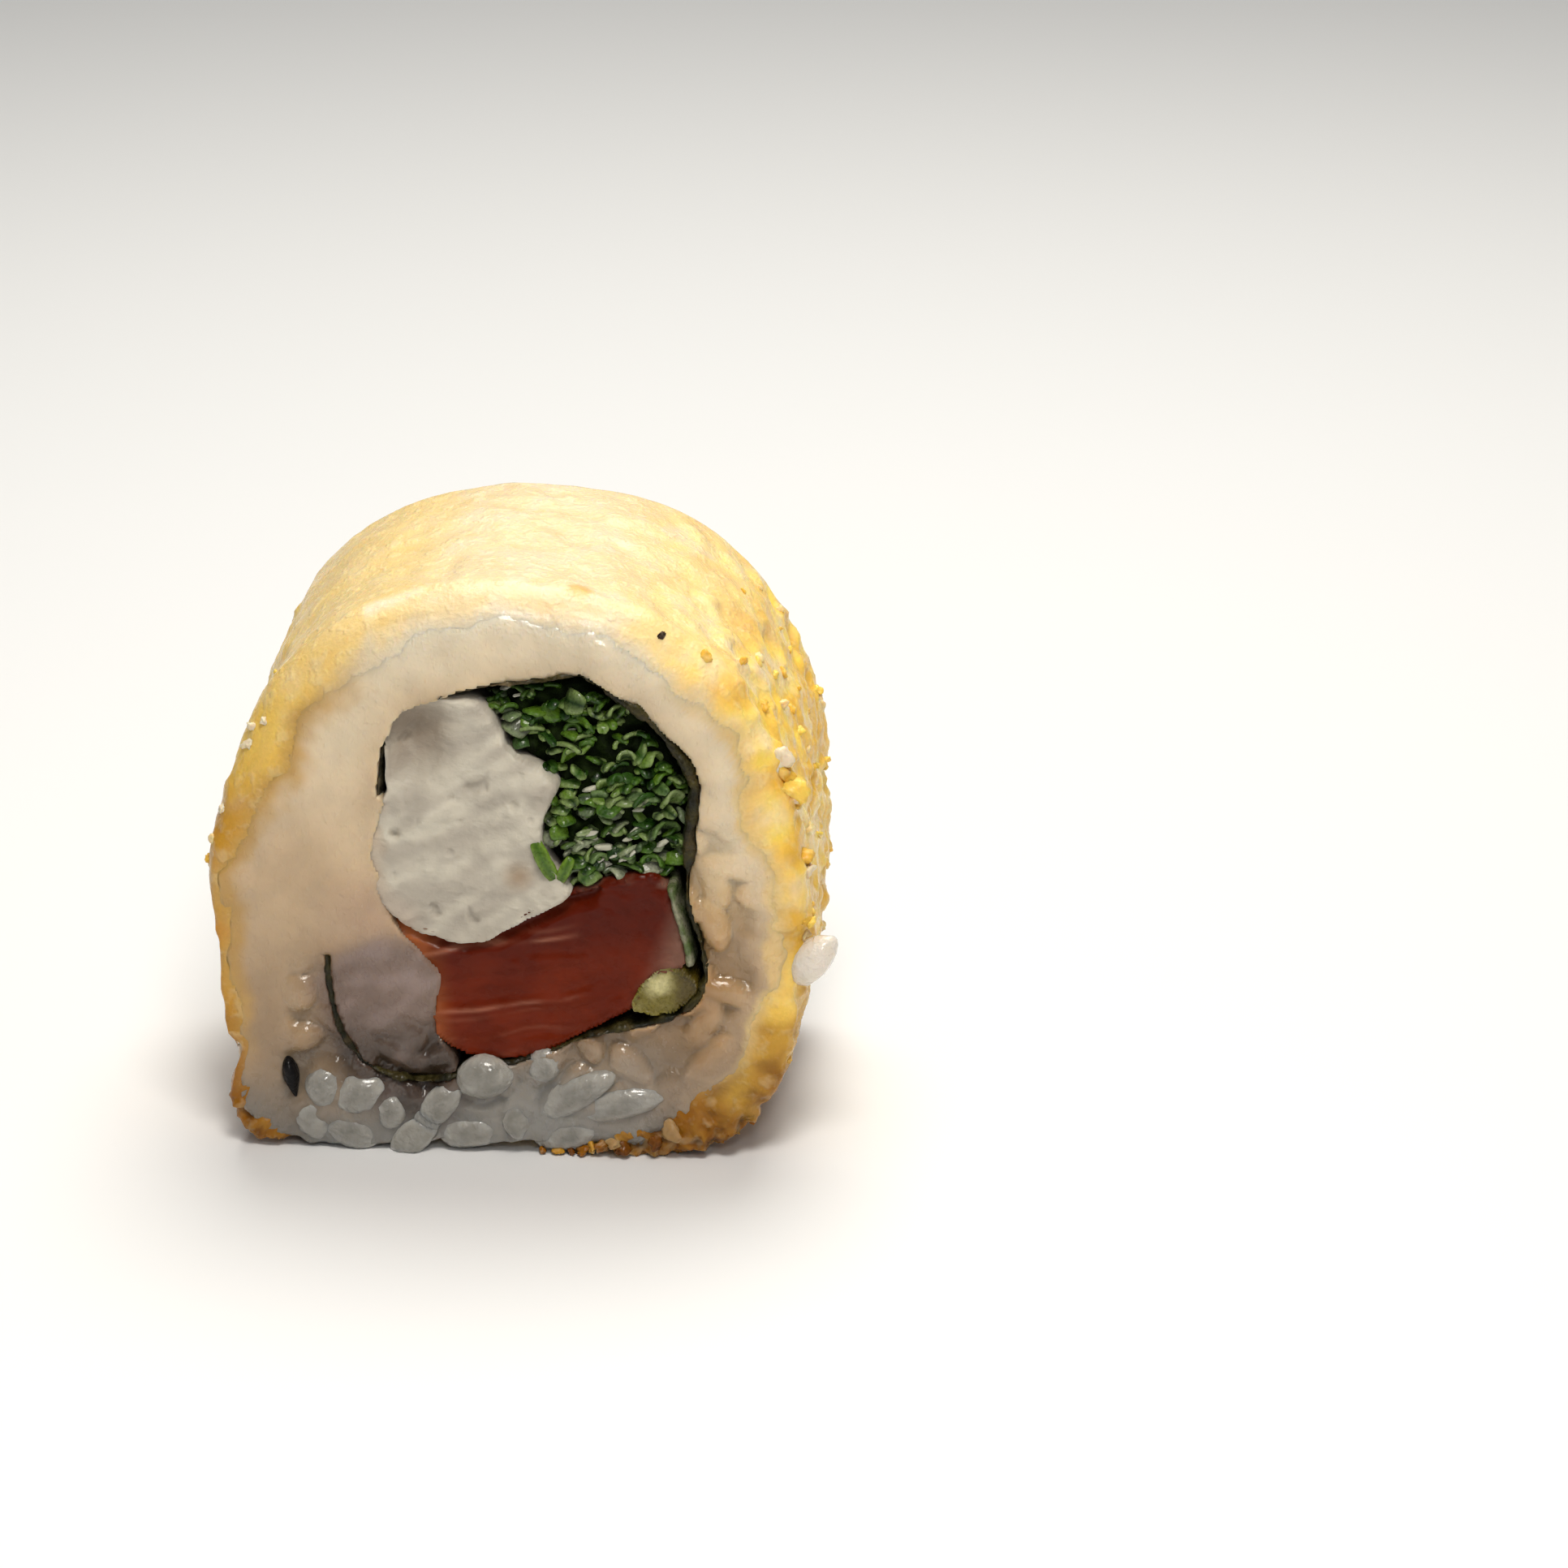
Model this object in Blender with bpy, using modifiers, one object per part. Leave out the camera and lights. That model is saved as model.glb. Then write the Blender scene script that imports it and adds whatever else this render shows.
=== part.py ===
"""One slice of a tempura salmon roll, standing on its flattened side with a cut face to the front.

The roll's axis runs along Y. The front cut face looks along -Y, the other one along +Y, and Z is up.
From the outside in: a fried batter coat, a ring of sushi rice whose inner flap curls in at the lower
left, a C-shaped sheet of seaweed, and inside it cream cheese, chopped green onion, a salmon strip and
a piece of pale onion stalk. Sizes are in metres, worked out from millimetres in the lists below.
"""

import math
import random

import bmesh
import bpy
from mathutils import Matrix, Vector, noise
from mathutils.geometry import intersect_point_line

MM = 0.001

# Driving sizes
SLICE_LENGTH = 28.0 * MM
SHEET_THICKNESS = 0.4 * MM
LEAF_THICKNESS = 0.5 * MM
GAP = 0.3 * MM
GRAIN_SIZE = Vector((5.4, 2.6, 2.8)) * MM
SEED_SIZE = Vector((3.4, 1.3, 1.9)) * MM
ONION_BIT_RADIUS = 0.75 * MM
ONION_BIT_LENGTH = 2.0 * MM
SHEET_RAGGEDNESS = 0.8 * MM
LEAF_RAGGEDNESS = 0.4 * MM
RICE_RECESS = 0.2 * MM
SHEET_RECESS = 0.1 * MM
CHEESE_RECESS = 0.4 * MM
STALK_RECESS = 0.5 * MM
LEAF_RECESS = 0.5 * MM
SALMON_RECESS = 0.6 * MM
ONION_RECESS = 0.9 * MM
GRAINS_A_FACE = 30
ONION_BITS_A_FACE = 22
GRAIN_SPACING = 2.5 * MM
ONION_BIT_SPACING = 1.15 * MM
RANDOM_SEED = 7

# Where the sesame seed lies on the rice and the stray grain on the batter, and which way they point
SEED_AT = Vector((-15.7, -13.9, 5.6)) * MM
SEED_ALONG = Vector((0.18, 0.0, -1.0))
STRAY_GRAIN_AT = Vector((22.9, -12.6, 15.9)) * MM
STRAY_GRAIN_ALONG = Vector((0.62, -0.1, 0.78))

# Cross-sections seen from the front, as (x, z) in millimetres, anticlockwise on the page.
ROLL_SECTION = [
    (-10.0, 0.0), (-2.0, 0.0), (6.0, 0.0), (12.5, 0.2), (16.8, 2.0), (20.6, 7.2), (22.0, 14.0),
    (22.0, 22.0), (20.6, 30.0), (17.0, 37.0), (11.0, 41.6), (3.5, 43.4), (-4.5, 43.2),
    (-11.6, 40.6), (-16.4, 35.9), (-19.7, 29.3), (-21.3, 22.5), (-21.0, 16.5), (-20.2, 9.5),
    (-19.9, 4.0), (-18.6, 1.0), (-15.5, 0.0),
]
RICE_SECTION = [
    (-10.0, 0.9), (-2.0, 0.9), (5.0, 1.0), (9.4, 1.9), (13.2, 4.6), (17.2, 8.4), (19.3, 14.0),
    (19.6, 22.0), (18.3, 29.0), (15.0, 35.2), (9.8, 39.5), (3.5, 41.4), (-4.2, 41.0), (-10.0, 37.9),
    (-13.9, 33.6), (-17.1, 28.2), (-19.6, 22.5), (-19.7, 16.5), (-18.9, 9.5), (-18.4, 4.4),
    (-17.2, 1.9), (-14.5, 1.0),
]
SHEET_LINE = [
    (-12.9, 15.6), (-12.6, 12.0), (-11.6, 8.8), (-9.4, 6.5), (-5.6, 5.7), (-2.0, 6.7), (2.2, 7.8),
    (6.6, 9.8), (11.8, 11.0), (15.0, 13.4), (14.8, 17.2), (13.8, 21.0), (14.0, 25.5), (14.3, 30.0),
    (12.4, 32.8), (10.4, 35.3), (8.2, 36.5), (6.0, 38.0), (3.4, 37.4), (0.0, 37.0), (-4.0, 36.0),
    (-7.4, 34.7), (-8.4, 31.5), (-8.8, 28.0),
]
RICE_FLAP_EDGE = [
    (-9.8, 25.6), (-10.0, 22.8), (-8.9, 20.6), (-8.7, 18.3), (-6.3, 15.8), (-4.9, 13.8), (-5.3, 11.2),
    (-5.0, 9.2), (-3.8, 7.4), (-3.4, 5.6),
]
LEAF_LINE = [(12.6, 21.7), (12.9, 20.2), (13.5, 18.2), (13.9, 16.4), (14.0, 15.4)]
SALMON_SECTION = [
    (-8.2, 18.0), (-4.8, 17.2), (-2.0, 16.7), (1.0, 18.2), (4.8, 20.2), (8.6, 21.4), (11.8, 21.8),
    (13.2, 18.4), (13.4, 15.8), (11.8, 14.7), (9.6, 12.4), (6.4, 10.6), (3.0, 8.6), (-1.2, 8.0),
    (-4.4, 9.4), (-4.6, 12.8), (-5.8, 15.8),
]
CHEESE_SECTION = [
    (-8.0, 34.2), (-4.4, 35.2), (-2.2, 35.2), (-0.2, 33.4), (0.6, 31.4), (3.9, 29.5), (2.9, 26.6),
    (3.2, 23.4), (5.2, 20.6), (2.1, 19.0), (-2.4, 16.8), (-6.2, 17.9), (-8.4, 20.8), (-9.8, 23.4),
    (-9.3, 25.6), (-8.0, 27.4), (-7.9, 30.4),
]
ONION_SECTION = [
    (-1.0, 36.2), (2.6, 37.0), (6.1, 37.6), (9.8, 35.4), (12.4, 32.4), (13.9, 30.0), (13.6, 26.0),
    (13.0, 22.6), (8.4, 21.6), (4.6, 21.2), (2.6, 24.4), (3.8, 28.8), (1.0, 31.2), (0.2, 33.6),
]
STALK_SECTION = [(9.9, 11.9), (12.4, 11.8), (14.3, 13.2), (13.8, 14.6), (12.0, 15.1), (10.6, 13.8)]

# How far each section's point lies from the cut plane at the two faces, as shares of its width.
ROUNDED_RIM = [(0.80, 0.0), (0.88, 0.0), (0.94, 0.3), (0.98, 0.9), (1.0, 2.0)]
RICE_FACE_RINGS = [0.36, 0.5, 0.62, 0.74, 0.86]
FILLING_FACE_RINGS = [0.4, 0.75]
COAT_STATIONS = 11


def flat(points):
    """Section points in metres, as 2D vectors."""
    return [Vector(point) * MM for point in points]


def catmull_rom(before, start, end, after, t):
    return 0.5 * (
        2 * start
        + (end - before) * t
        + (2 * before - 5 * start + 4 * end - after) * t ** 2
        + (3 * start - before - 3 * end + after) * t ** 3
    )


def smooth_line(points, closed, steps=8):
    """A smooth curve through the points, as a dense list."""
    count = len(points)
    spans = count if closed else count - 1
    line = []
    for i in range(spans):
        if closed:
            before, after = points[i - 1], points[(i + 2) % count]
        else:
            before, after = points[max(i - 1, 0)], points[min(i + 2, count - 1)]
        for step in range(steps):
            line.append(catmull_rom(before, points[i], points[(i + 1) % count], after, step / steps))
    return line if closed else line + [points[-1]]


def evenly(line, closed, count):
    """The same line, read at equal distances along it."""
    path = line + line[:1] if closed else line
    reached = [0.0]
    for start, end in zip(path, path[1:]):
        reached.append(reached[-1] + (end - start).length)
    divisions = count if closed else count - 1
    made = []
    span = 0
    for i in range(count):
        target = reached[-1] * i / divisions
        while span < len(path) - 2 and reached[span + 1] < target:
            span += 1
        share = (target - reached[span]) / (reached[span + 1] - reached[span])
        made.append(path[span].lerp(path[span + 1], min(share, 1.0)))
    return made


def section(points, count):
    return evenly(smooth_line(flat(points), closed=True), True, count)


def grown(outline, by):
    """The closed, anticlockwise outline moved outwards everywhere by the same distance."""
    made = []
    for i, point in enumerate(outline):
        along = (outline[(i + 1) % len(outline)] - outline[i - 1]).normalized()
        made.append(point + Vector((along.y, -along.x)) * by)
    return made


def middle(outline):
    return sum(outline, Vector((0.0, 0.0))) / len(outline)


def inside(point, outline):
    """True if the point lies within the closed outline."""
    crossed = False
    for i, end in enumerate(outline):
        start = outline[i - 1]
        if (start.y > point.y) != (end.y > point.y):
            at = start.x + (point.y - start.y) / (end.y - start.y) * (end.x - start.x)
            crossed = crossed != (point.x < at)
    return crossed


def distance(point, line, closed=False):
    """How far the point is from the line."""
    nearest = math.inf
    pairs = zip(line, line[1:] + line[:1]) if closed else zip(line, line[1:])
    for start, end in pairs:
        foot, share = intersect_point_line(point, start, end)
        foot = Vector(foot[:2]) if 0 < share < 1 else (start if share <= 0 else end)
        nearest = min(nearest, (point - foot).length)
    return nearest


def kept_clear(outline, lines, neighbours):
    """Draws the outline in towards its middle until it stands clear of lines and of neighbours."""
    centre = middle(outline)
    made = []
    for point in outline:
        step = (centre - point).normalized() * 0.05 * MM
        while (
            any(distance(point, line) < room for line, room in lines)
            or any(inside(point, other) or distance(point, other, True) < GAP for other in neighbours)
        ):
            point = point + step
        made.append(point)
    return made


def new_object(name, bm, collection):
    bm.normal_update()
    bmesh.ops.recalc_face_normals(bm, faces=bm.faces)
    mesh = bpy.data.meshes.new(name)
    bm.to_mesh(mesh)
    bm.free()
    obj = bpy.data.objects.new(name, mesh)
    collection.objects.link(obj)
    return obj


def log(name, outline, rings, collection, relief=None):
    """A UV sphere pulled into a log along Y: its meridians follow the outline, its parallels the rings.

    A ring is (share of the section's width, y). The first and the last ring are the middles of the
    two faces. relief(x, y, z, share) gives how far a point moves, as a vector.
    """
    centre = middle(outline)
    parallels = len(rings) - 1
    bm = bmesh.new()
    bmesh.ops.create_uvsphere(bm, u_segments=len(outline), v_segments=parallels, radius=1.0)
    for vert in bm.verts:
        ring = round(math.acos(max(-1.0, min(1.0, vert.co.z))) / math.pi * parallels)
        turn = round(math.atan2(vert.co.y, vert.co.x) / math.tau * len(outline)) % len(outline)
        share, depth = rings[ring]
        point = centre + (outline[turn] - centre) * share
        vert.co = (point.x, depth, point.y)
        if relief:
            vert.co += relief(vert.co.copy(), share)
    return new_object(name, bm, collection)


def face_rings(end, shares, rim, stations):
    """Rings for a log that ends at -end and +end, with its rim rounded and plain rings between."""
    front = [(0.0, -end)] + [(share, -end) for share in shares] + [(s, d * MM - end) for s, d in rim]
    last = front[-1][1]
    between = [(1.0, last - 2 * last * i / (stations + 1)) for i in range(1, stations + 1)]
    return front + between + [(share, -depth) for share, depth in reversed(front)]


def plug(name, outline, collection):
    """A plain prism, longer than the slice, used to bore through it."""
    reach = SLICE_LENGTH
    return log(name, outline, [(0, -reach), (1, -reach), (1, reach), (0, reach)], collection)


def cut(obj, cutter):
    modifier = obj.modifiers.new("cut_" + cutter.name, "BOOLEAN")
    modifier.operation = "DIFFERENCE"
    modifier.object = cutter
    cutter.hide_render = True
    cutter.display_type = "WIRE"


def apply_modifiers(obj):
    graph = bpy.context.evaluated_depsgraph_get()
    made = bpy.data.meshes.new_from_object(obj.evaluated_get(graph))
    obj.modifiers.clear()
    obj.data = made


def fuse(obj, pieces):
    """Joins the pieces of this collection to the object as one solid, then removes them."""
    modifier = obj.modifiers.new("fuse", "BOOLEAN")
    modifier.operation = "UNION"
    modifier.operand_type = "COLLECTION"
    modifier.collection = pieces
    modifier.solver = "MANIFOLD"
    apply_modifiers(obj)
    for piece in list(pieces.objects):
        bpy.data.objects.remove(piece)
    bpy.data.collections.remove(pieces)


def kernel(name, centre, along, size, collection):
    """A low-sided grain or seed: length along its own direction, then depth, then width."""
    bm = bmesh.new()
    bmesh.ops.create_uvsphere(bm, u_segments=6, v_segments=4, radius=0.5)
    direction = Vector(along).normalized()
    turn = direction.to_track_quat("Z", "Y").to_matrix().to_4x4()
    shape = Matrix.Diagonal((size.z, size.y, size.x, 1.0))
    bmesh.ops.transform(bm, matrix=Matrix.Translation(centre) @ turn @ shape, verts=bm.verts)
    return new_object(name, bm, collection)


def new_collection(name):
    collection = bpy.data.collections.new(name)
    bpy.context.scene.collection.children.link(collection)
    return collection


def material(name, colour, roughness):
    made = bpy.data.materials.new(name)
    made.use_nodes = True
    shader = made.node_tree.nodes["Principled BSDF"]
    shader.inputs["Base Color"].default_value = (*colour, 1.0)
    shader.inputs["Roughness"].default_value = roughness
    shader.inputs["Metallic"].default_value = 0.0
    return made


def finish(obj, *look):
    obj.data.materials.clear()
    obj.data.materials.append(material(*look))
    obj.data.shade_smooth()
    obj.data.set_sharp_from_angle(angle=math.radians(50))


def crust_relief(point, share):
    """Crags of fried batter: broad swellings with sharp crinkles, most at the right and low corners."""
    if share < 0.95:
        crumble = noise.noise(point / (1.6 * MM)) * 0.25 * MM
        return Vector((0.0, crumble, 0.0))
    outward = Vector((point.x, 0.0, point.z - 21 * MM)).normalized()
    swell = noise.noise(point / (6.5 * MM)) * 0.55
    crinkle = 0.5 - abs(noise.noise(point / (3.0 * MM) + Vector((7.0, 3.0, 5.0))))
    low_corner = max(0.0, 1 - abs(abs(point.x) - 17 * MM) / (5 * MM)) * max(0.0, 1 - point.z / (7 * MM))
    right_side = max(0.0, min(1.0, (point.x - 12 * MM) / (8 * MM)))
    roughness = 0.55 + 0.5 * right_side + 0.5 * low_corner
    height = (swell + crinkle * 1.3) * roughness - 0.1
    if point.z < 0.5 * MM:
        return Vector((0.0, 0.0, 0.0))
    moved = outward * max(height, -0.2) * MM
    moved.z = max(moved.z, -point.z)
    return moved


def rice_relief(point, share):
    """The cut grains stand up a little on the two faces, less where the knife smoothed the top."""
    if share >= 0.97:
        return Vector((0.0, 0.0, 0.0))
    cells = noise.cell_vector(point / (2.2 * MM)).x - 0.5
    waves = noise.noise(point / (3.0 * MM))
    drag = 1.0 - 0.75 * max(0.0, min(1.0, (point.z - 24 * MM) / (10 * MM)))
    return Vector((0.0, (0.25 * waves + 0.3 * cells) * drag * MM, 0.0))


def soft_relief(point, share):
    """Low, slow waves of a soft filling where the knife went through it."""
    if share >= 0.97:
        return Vector((0.0, 0.0, 0.0))
    return Vector((0.0, noise.noise(point / (3.5 * MM)) * 0.35 * MM, 0.0))


def make_coat(parts, cutters, rice_outline):
    """The fried batter: a craggy log bored out to the rice, with one stray grain stuck on its edge."""
    end = SLICE_LENGTH / 2
    rings = face_rings(end, [], ROUNDED_RIM, COAT_STATIONS)
    outline = [Vector((point.x, max(point.y, 0.0))) for point in section(ROLL_SECTION, 84)]
    coat = log("tempura_coat", outline, rings, parts, crust_relief)
    for vert in coat.data.vertices:
        vert.co.z = max(vert.co.z, 0.0)
    cut(coat, plug("coat_bore", grown(rice_outline, GAP), cutters))
    apply_modifiers(coat)
    stray = new_collection("stray_grain")
    kernel("grain", STRAY_GRAIN_AT, STRAY_GRAIN_ALONG, GRAIN_SIZE * 0.88, stray)
    fuse(coat, stray)
    finish(coat, "fried_batter", (0.87, 0.56, 0.14), 0.42)


def sheet(name, line, reach, thickness, ragged, collection):
    """A sheet that follows the line in section and runs through the slice, given its thickness."""
    bm = bmesh.new()
    rows = 4
    bmesh.ops.create_grid(bm, x_segments=len(line) - 1, y_segments=rows - 1, size=1.0)
    for vert in bm.verts:
        column = round((vert.co.x + 1) / 2 * (len(line) - 1))
        side = vert.co.y
        at = line[column]
        wave = noise.noise(Vector((at.x, at.y, side)) / (2.4 * MM)) * ragged * abs(side)
        vert.co = (at.x, side * (reach - abs(wave)), at.y)
    obj = new_object(name, bm, collection)
    solidify = obj.modifiers.new("thickness", "SOLIDIFY")
    solidify.thickness = thickness
    solidify.offset = 0.0
    solidify.use_even_offset = True
    return obj


def make_sheet(parts, cutters, line):
    """The seaweed: a C-shaped sheet, and the wider one that clears its slot in the rice."""
    end = SLICE_LENGTH / 2 - SHEET_RECESS
    seaweed = sheet("nori_sheet", line, end, SHEET_THICKNESS, SHEET_RAGGEDNESS, parts)
    finish(seaweed, "seaweed", (0.03, 0.04, 0.015), 0.5)
    first = line[0] + (line[0] - line[1]).normalized() * GAP
    last = line[-1] + (line[-1] - line[-2]).normalized() * GAP
    return sheet("sheet_slot", [first, *line, last], SLICE_LENGTH, SHEET_THICKNESS + 2 * GAP, 0, cutters)


def make_leaf(parts, line):
    """A blade of green onion that lies along the slice between the salmon and the seaweed."""
    end = SLICE_LENGTH / 2 - LEAF_RECESS
    leaf = sheet("onion_leaf", line, end, LEAF_THICKNESS, LEAF_RAGGEDNESS, parts)
    finish(leaf, "onion_leaf", (0.3, 0.4, 0.2), 0.4)


def grain_fits(centre, along, half_length, outline, channel, line):
    """True if a grain lies on the rice, clear of the coat, of the fillings and of the sheet."""
    half_width = GRAIN_SIZE.z / 2
    for share in (-1.0, -0.5, 0.0, 0.5, 1.0):
        point = centre + along * share * half_length
        room = half_width * (1.0 - 0.7 * abs(share)) + 0.15 * MM
        if not inside(point, outline) or distance(point, outline, True) < room:
            return False
        if inside(point, channel) or distance(point, channel, True) < room + GAP:
            return False
        if distance(point, line) < room + GAP:
            return False
    return True


def scatter_grains(grains, outline, channel, line, side):
    """Whole grains that stand out of one cut face, spread evenly over its lower and middle parts."""
    placed = []
    tries = 0
    while len(placed) < GRAINS_A_FACE and tries < 4000:
        tries += 1
        centre = Vector((random.uniform(-19, 19), random.uniform(2.5, 31))) * MM
        angle = random.uniform(0, math.pi)
        along = Vector((math.cos(angle), math.sin(angle)))
        size = GRAIN_SIZE * random.uniform(0.85, 1.08)
        if any((centre - other).length < GRAIN_SPACING for other in placed):
            continue
        if not grain_fits(centre, along, size.x / 2, outline, channel, line):
            continue
        placed.append(centre)
        depth = side * (SLICE_LENGTH / 2 - random.uniform(0.5, 1.0) * MM)
        tilt = random.uniform(-0.25, 0.25)
        kernel("grain", (centre.x, depth, centre.y), (along.x, tilt, along.y), size, grains)


def make_rice(parts, cutters, outline, channel, line, slot):
    """The rice: a ring with its inner flap in one piece, with grains and a black sesame seed on it."""
    end = SLICE_LENGTH / 2 - RICE_RECESS
    rings = face_rings(end, RICE_FACE_RINGS, [(0.96, 0.15), (1.0, 0.9)], 0)
    rice = log("rice", outline, rings, parts, rice_relief)
    cut(rice, plug("rice_bore", channel, cutters))
    cut(rice, slot)
    apply_modifiers(rice)
    grains = new_collection("grains")
    for side in (-1, 1):
        scatter_grains(grains, outline, channel, line, side)
    kernel("sesame", SEED_AT, SEED_ALONG, SEED_SIZE, grains)
    fuse(rice, grains)
    finish(rice, "sushi_rice", (0.78, 0.72, 0.6), 0.4)


def make_filling(name, outline, recess, relief, look, parts):
    """One filling that runs through the slice from face to face."""
    end = SLICE_LENGTH / 2 - recess
    rings = face_rings(end, FILLING_FACE_RINGS, [(0.93, 0.1), (1.0, 0.7)], 1)
    filling = log(name, outline, rings, parts, relief)
    finish(filling, *look)
    return filling


def onion_bit(centre, along, length, collection):
    """One chopped ring of green onion, as a short six-sided stub."""
    bm = bmesh.new()
    bmesh.ops.create_cone(
        bm, cap_ends=True, segments=6, radius1=ONION_BIT_RADIUS, radius2=ONION_BIT_RADIUS * 0.8, depth=length
    )
    turn = along.to_track_quat("Z", "Y").to_matrix().to_4x4()
    bmesh.ops.transform(bm, matrix=Matrix.Translation(centre) @ turn, verts=bm.verts)
    new_object("onion_bit", bm, collection)


def make_onion(outline, parts):
    """The chopped green onion: a core through the slice, with the cut bits fused on at both faces."""
    look = ("green_onion", (0.06, 0.17, 0.04), 0.45)
    onion = make_filling("green_onion", outline, ONION_RECESS, soft_relief, look, parts)
    bits = new_collection("onion_bits")
    for side in (-1, 1):
        placed = []
        while len(placed) < ONION_BITS_A_FACE:
            spot = Vector((random.uniform(-3, 14), random.uniform(21, 38))) * MM
            if not inside(spot, outline) or distance(spot, outline, True) < ONION_BIT_LENGTH / 2 + 0.1 * MM:
                continue
            if any((spot - other).length < ONION_BIT_SPACING for other in placed):
                continue
            placed.append(spot)
            depth = side * (SLICE_LENGTH / 2 - ONION_RECESS - random.uniform(0.0, 0.35) * MM)
            along = Vector((random.uniform(-1, 1), random.uniform(-0.5, 0.5), random.uniform(-1, 1)))
            onion_bit((spot.x, depth, spot.y), along, ONION_BIT_LENGTH * random.uniform(0.7, 1.0), bits)
    fuse(onion, bits)
    finish(onion, *look)


def main():
    for obj in list(bpy.data.objects):
        bpy.data.objects.remove(obj)
    random.seed(RANDOM_SEED)
    parts = new_collection("tempura_salmon_roll")
    cutters = new_collection("cutters")

    rice_outline = section(RICE_SECTION, 68)
    line = evenly(smooth_line(flat(SHEET_LINE), closed=False), False, 58)
    flap = smooth_line(flat(RICE_FLAP_EDGE), closed=False, steps=4)
    crossing = min(range(len(line) // 2), key=lambda i: (line[i] - flap[-1]).length)
    channel = line[crossing + 1:] + flap

    make_coat(parts, cutters, rice_outline)
    slot = make_sheet(parts, cutters, line)
    make_rice(parts, cutters, rice_outline, channel, line, slot)

    leaf = evenly(smooth_line(flat(LEAF_LINE), closed=False), False, 8)
    make_leaf(parts, leaf)
    lines = [(line, SHEET_THICKNESS / 2 + GAP), (flap, GAP), (leaf, LEAF_THICKNESS / 2 + GAP)]
    stalk = kept_clear(section(STALK_SECTION, 16), lines, [])
    salmon = kept_clear(section(SALMON_SECTION, 48), lines, [stalk])
    cheese = kept_clear(section(CHEESE_SECTION, 48), lines, [salmon])
    onion = kept_clear(section(ONION_SECTION, 48), lines, [salmon, cheese])
    make_filling(
        "onion_stalk", stalk, STALK_RECESS, soft_relief, ("onion_stalk", (0.62, 0.66, 0.36), 0.35), parts
    )
    make_filling(
        "salmon_strip", salmon, SALMON_RECESS, soft_relief, ("salmon", (0.55, 0.11, 0.04), 0.3), parts
    )
    make_filling(
        "cream_cheese", cheese, CHEESE_RECESS, soft_relief, ("cream_cheese", (0.76, 0.71, 0.62), 0.5), parts
    )
    make_onion(onion, parts)


main()
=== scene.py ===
import math
import random

import bmesh
import bpy
import numpy as np
from mathutils import Matrix, Vector, noise
from mathutils.bvhtree import BVHTree


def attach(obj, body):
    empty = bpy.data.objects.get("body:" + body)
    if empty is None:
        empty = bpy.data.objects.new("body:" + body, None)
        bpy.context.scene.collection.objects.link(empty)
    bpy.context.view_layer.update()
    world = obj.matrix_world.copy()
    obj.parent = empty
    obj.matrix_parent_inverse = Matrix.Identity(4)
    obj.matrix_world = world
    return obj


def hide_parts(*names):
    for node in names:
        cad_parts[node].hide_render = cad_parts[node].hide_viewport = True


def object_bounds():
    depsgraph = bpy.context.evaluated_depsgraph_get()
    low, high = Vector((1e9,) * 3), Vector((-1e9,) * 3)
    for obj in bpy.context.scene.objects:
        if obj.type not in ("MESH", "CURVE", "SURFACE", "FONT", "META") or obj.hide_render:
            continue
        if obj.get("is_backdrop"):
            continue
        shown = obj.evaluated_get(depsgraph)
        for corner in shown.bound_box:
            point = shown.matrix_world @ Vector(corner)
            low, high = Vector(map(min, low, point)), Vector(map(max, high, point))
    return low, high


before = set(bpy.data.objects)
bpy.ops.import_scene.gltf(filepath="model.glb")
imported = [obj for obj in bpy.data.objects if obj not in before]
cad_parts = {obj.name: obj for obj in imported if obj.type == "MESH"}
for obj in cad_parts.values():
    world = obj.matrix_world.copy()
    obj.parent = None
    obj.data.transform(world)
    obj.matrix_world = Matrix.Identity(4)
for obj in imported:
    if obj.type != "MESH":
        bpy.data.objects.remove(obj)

cad_low, cad_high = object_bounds()
MM = 0.001

# Camera
# A short telephoto view from a little to the right and 21 degrees above the table, with the slice left
# of the picture's middle. It looks at a point to the right of the slice.
def placed(name, data):
    """Puts a new object into the scene."""
    thing = bpy.data.objects.new(name, data)
    bpy.context.scene.collection.objects.link(thing)
    return thing


def point_at(thing, target):
    thing.rotation_euler = (target - thing.location).to_track_quat("-Z", "Y").to_euler()


slice_middle = Vector((0.0, 0.0, 21.0)) * MM
azimuth = math.radians(7.0)
elevation = math.radians(21.0)
level_part = math.cos(elevation)
away = Vector((math.sin(azimuth) * level_part, -math.cos(azimuth) * level_part, math.sin(elevation)))
camera = placed("camera", bpy.data.cameras.new("camera"))
camera.data.lens = 137.0
camera.data.sensor_width = 36.0
camera.data.clip_start = 0.01
camera.location = slice_middle + away * 450.0 * MM
point_at(camera, Vector((19.61, 3.37, 23.49)) * MM)
bpy.context.scene.camera = camera
bpy.context.scene.view_settings.view_transform = "Standard"


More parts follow.
